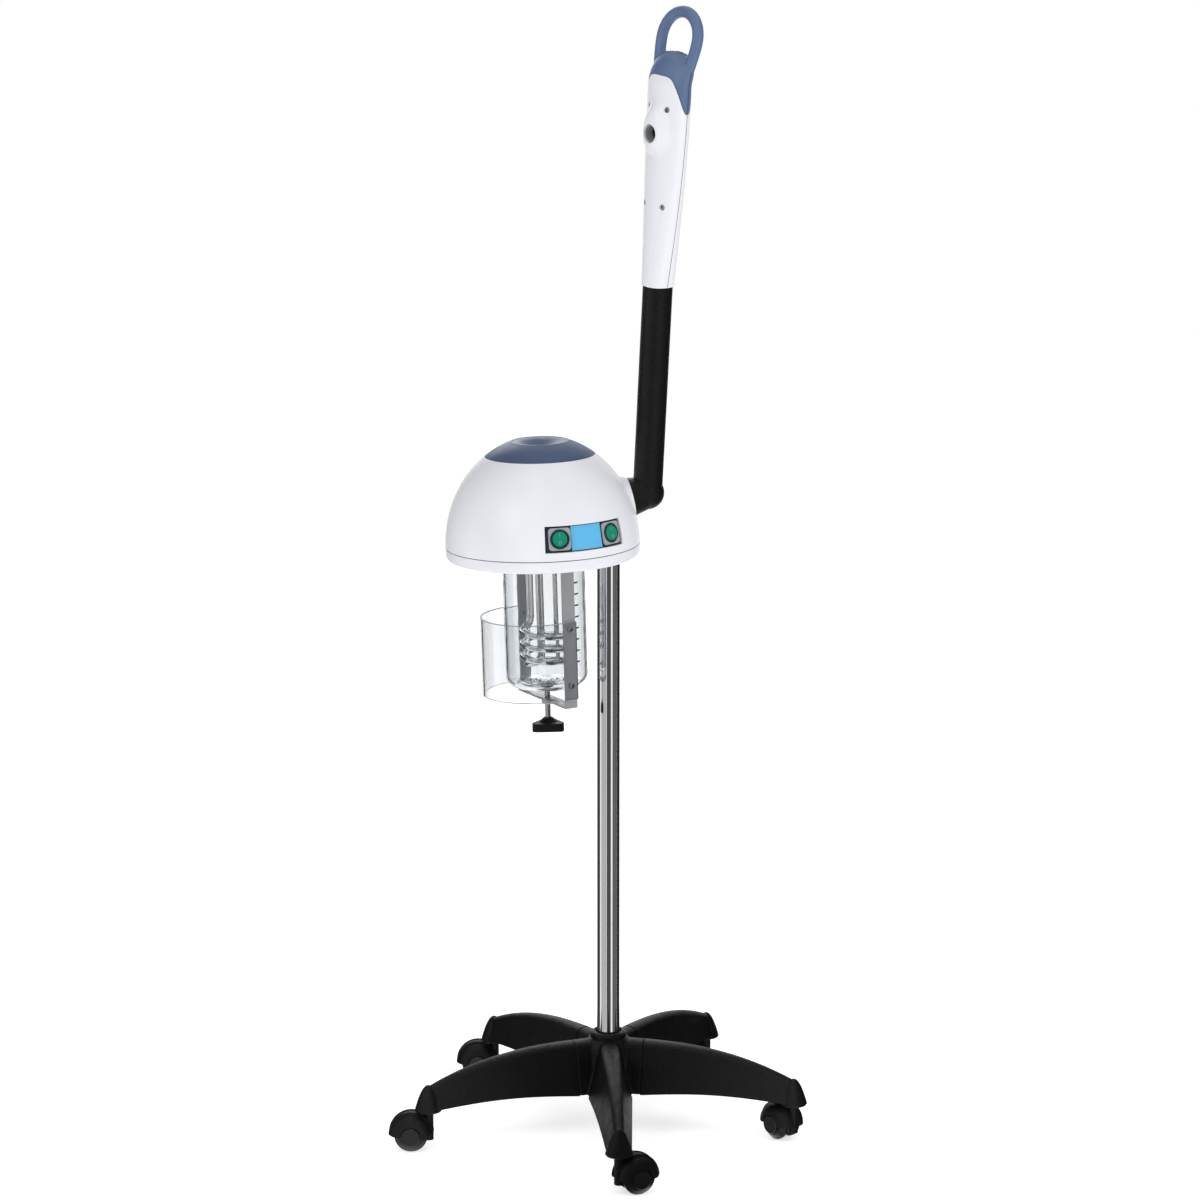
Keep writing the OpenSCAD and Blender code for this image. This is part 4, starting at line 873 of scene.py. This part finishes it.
def white_for_view(tree, light):
    """A shader that shows plain white to the camera, mirrors and glass, and light to the rest."""
    path = tree.nodes.new("ShaderNodeLightPath")
    seen = path.outputs["Is Camera Ray"]
    for ray in ("Is Glossy Ray", "Is Transmission Ray"):
        either = tree.nodes.new("ShaderNodeMath")
        either.operation = "MAXIMUM"
        tree.links.new(seen, either.inputs[0])
        tree.links.new(path.outputs[ray], either.inputs[1])
        seen = either.outputs["Value"]
    mix = tree.nodes.new("ShaderNodeMixShader")
    tree.links.new(seen, mix.inputs["Fac"])
    tree.links.new(light, mix.inputs[1])
    white = tree.nodes.new("ShaderNodeBackground")
    white.inputs["Color"].default_value = (1, 1, 1, 1)
    tree.links.new(white.outputs["Background"], mix.inputs[2])
    return mix.outputs["Shader"]


def make_world():
    world = bpy.data.worlds.new("studio")
    bpy.context.scene.world = world
    world.use_nodes = True
    tree = world.node_tree
    fill = tree.nodes["Background"]
    fill.inputs["Color"].default_value = (1, 1, 1, 1)
    fill.inputs["Strength"].default_value = FILL
    tree.links.new(white_for_view(tree, fill.outputs["Background"]),
                   tree.nodes["World Output"].inputs["Surface"])


def make_floor():
    half, low = 6, -0.0005
    mesh = bpy.data.meshes.new("floor")
    mesh.from_pydata([(-half, -half, low), (half, -half, low), (half, half, low), (-half, half, low)],
                     [], [(0, 1, 2, 3)])
    floor = bpy.data.objects.new("floor", mesh)
    bpy.context.scene.collection.objects.link(floor)
    material, tree, shader = new_material("floor")
    shader.inputs["Base Color"].default_value = (0.9, 0.9, 0.9, 1)
    shader.inputs["Roughness"].default_value = 0.9
    shader.inputs["Emission Color"].default_value = (1, 1, 1, 1)
    shader.inputs["Emission Strength"].default_value = 0.6
    mesh.materials.append(material)
    floor.visible_glossy = False


def only_in_mirrors(tree, shader):
    """Leaves a shader's surface clear to light that no glossy surface has thrown back yet."""
    path = tree.nodes.new("ShaderNodeLightPath")
    empty = tree.nodes.new("ShaderNodeBsdfTransparent")
    mix = tree.nodes.new("ShaderNodeMixShader")
    tree.links.new(path.outputs["Glossy Depth"], mix.inputs["Fac"])
    tree.links.new(empty.outputs["BSDF"], mix.inputs[1])
    tree.links.new(shader.outputs["BSDF"], mix.inputs[2])
    tree.links.new(mix.outputs["Shader"], tree.nodes["Material Output"].inputs["Surface"])


def card(name, azimuth, half_angle, grey, distance, low=-0.8, high=2.2):
    """A standing card that only mirrors show, by its azimuth from +X as seen from the pole."""
    half = distance * math.tan(math.radians(half_angle))
    away = Vector((cos(azimuth), sin(azimuth), 0))
    across = Vector((-sin(azimuth), cos(azimuth), 0))
    corners = [away * distance + across * side * half + Vector((0, 0, z))
               for side, z in ((-1, low), (1, low), (1, high), (-1, high))]
    mesh = bpy.data.meshes.new(name)
    mesh.from_pydata(corners, [], [(0, 1, 2, 3)])
    sheet = bpy.data.objects.new(name, mesh)
    bpy.context.scene.collection.objects.link(sheet)
    material, tree, shader = new_material(name)
    shader.inputs["Base Color"].default_value = (0, 0, 0, 1)
    shader.inputs["Specular IOR Level"].default_value = 0
    shader.inputs["Emission Color"].default_value = (1, 1, 1, 1)
    shader.inputs["Emission Strength"].default_value = grey
    only_in_mirrors(tree, shader)
    mesh.materials.append(material)
    sheet.visible_camera = False
    sheet.visible_diffuse = False
    sheet.visible_shadow = False


make_camera()
make_world()
make_floor()
for setup in (("card_far", -148, 27, 0.05, 0.8), ("card_light", -76.5, 27.5, 0.52, 0.8),
              ("card_near", -25, 20, 0.08, 0.25), ("card_side", 39, 27, 0.13, 0.8),
              ("card_edge", 92, 25, 0.02, 0.8)):
    card(*setup)
lamp("key", 20, 2.6, 3.2, (2.0, 2.0), 32, True)
lamp("side", 118, 1.9, 3.0, (1.2, 2.4), 31, False)
lamp("back", 250, 2.4, 3.0, (1.6, 1.6), 20, True)
lamp("top", 61, 3.4, 1.4, (1.8, 1.8), 12, True)

bpy.context.scene.view_settings.view_transform = "Standard"
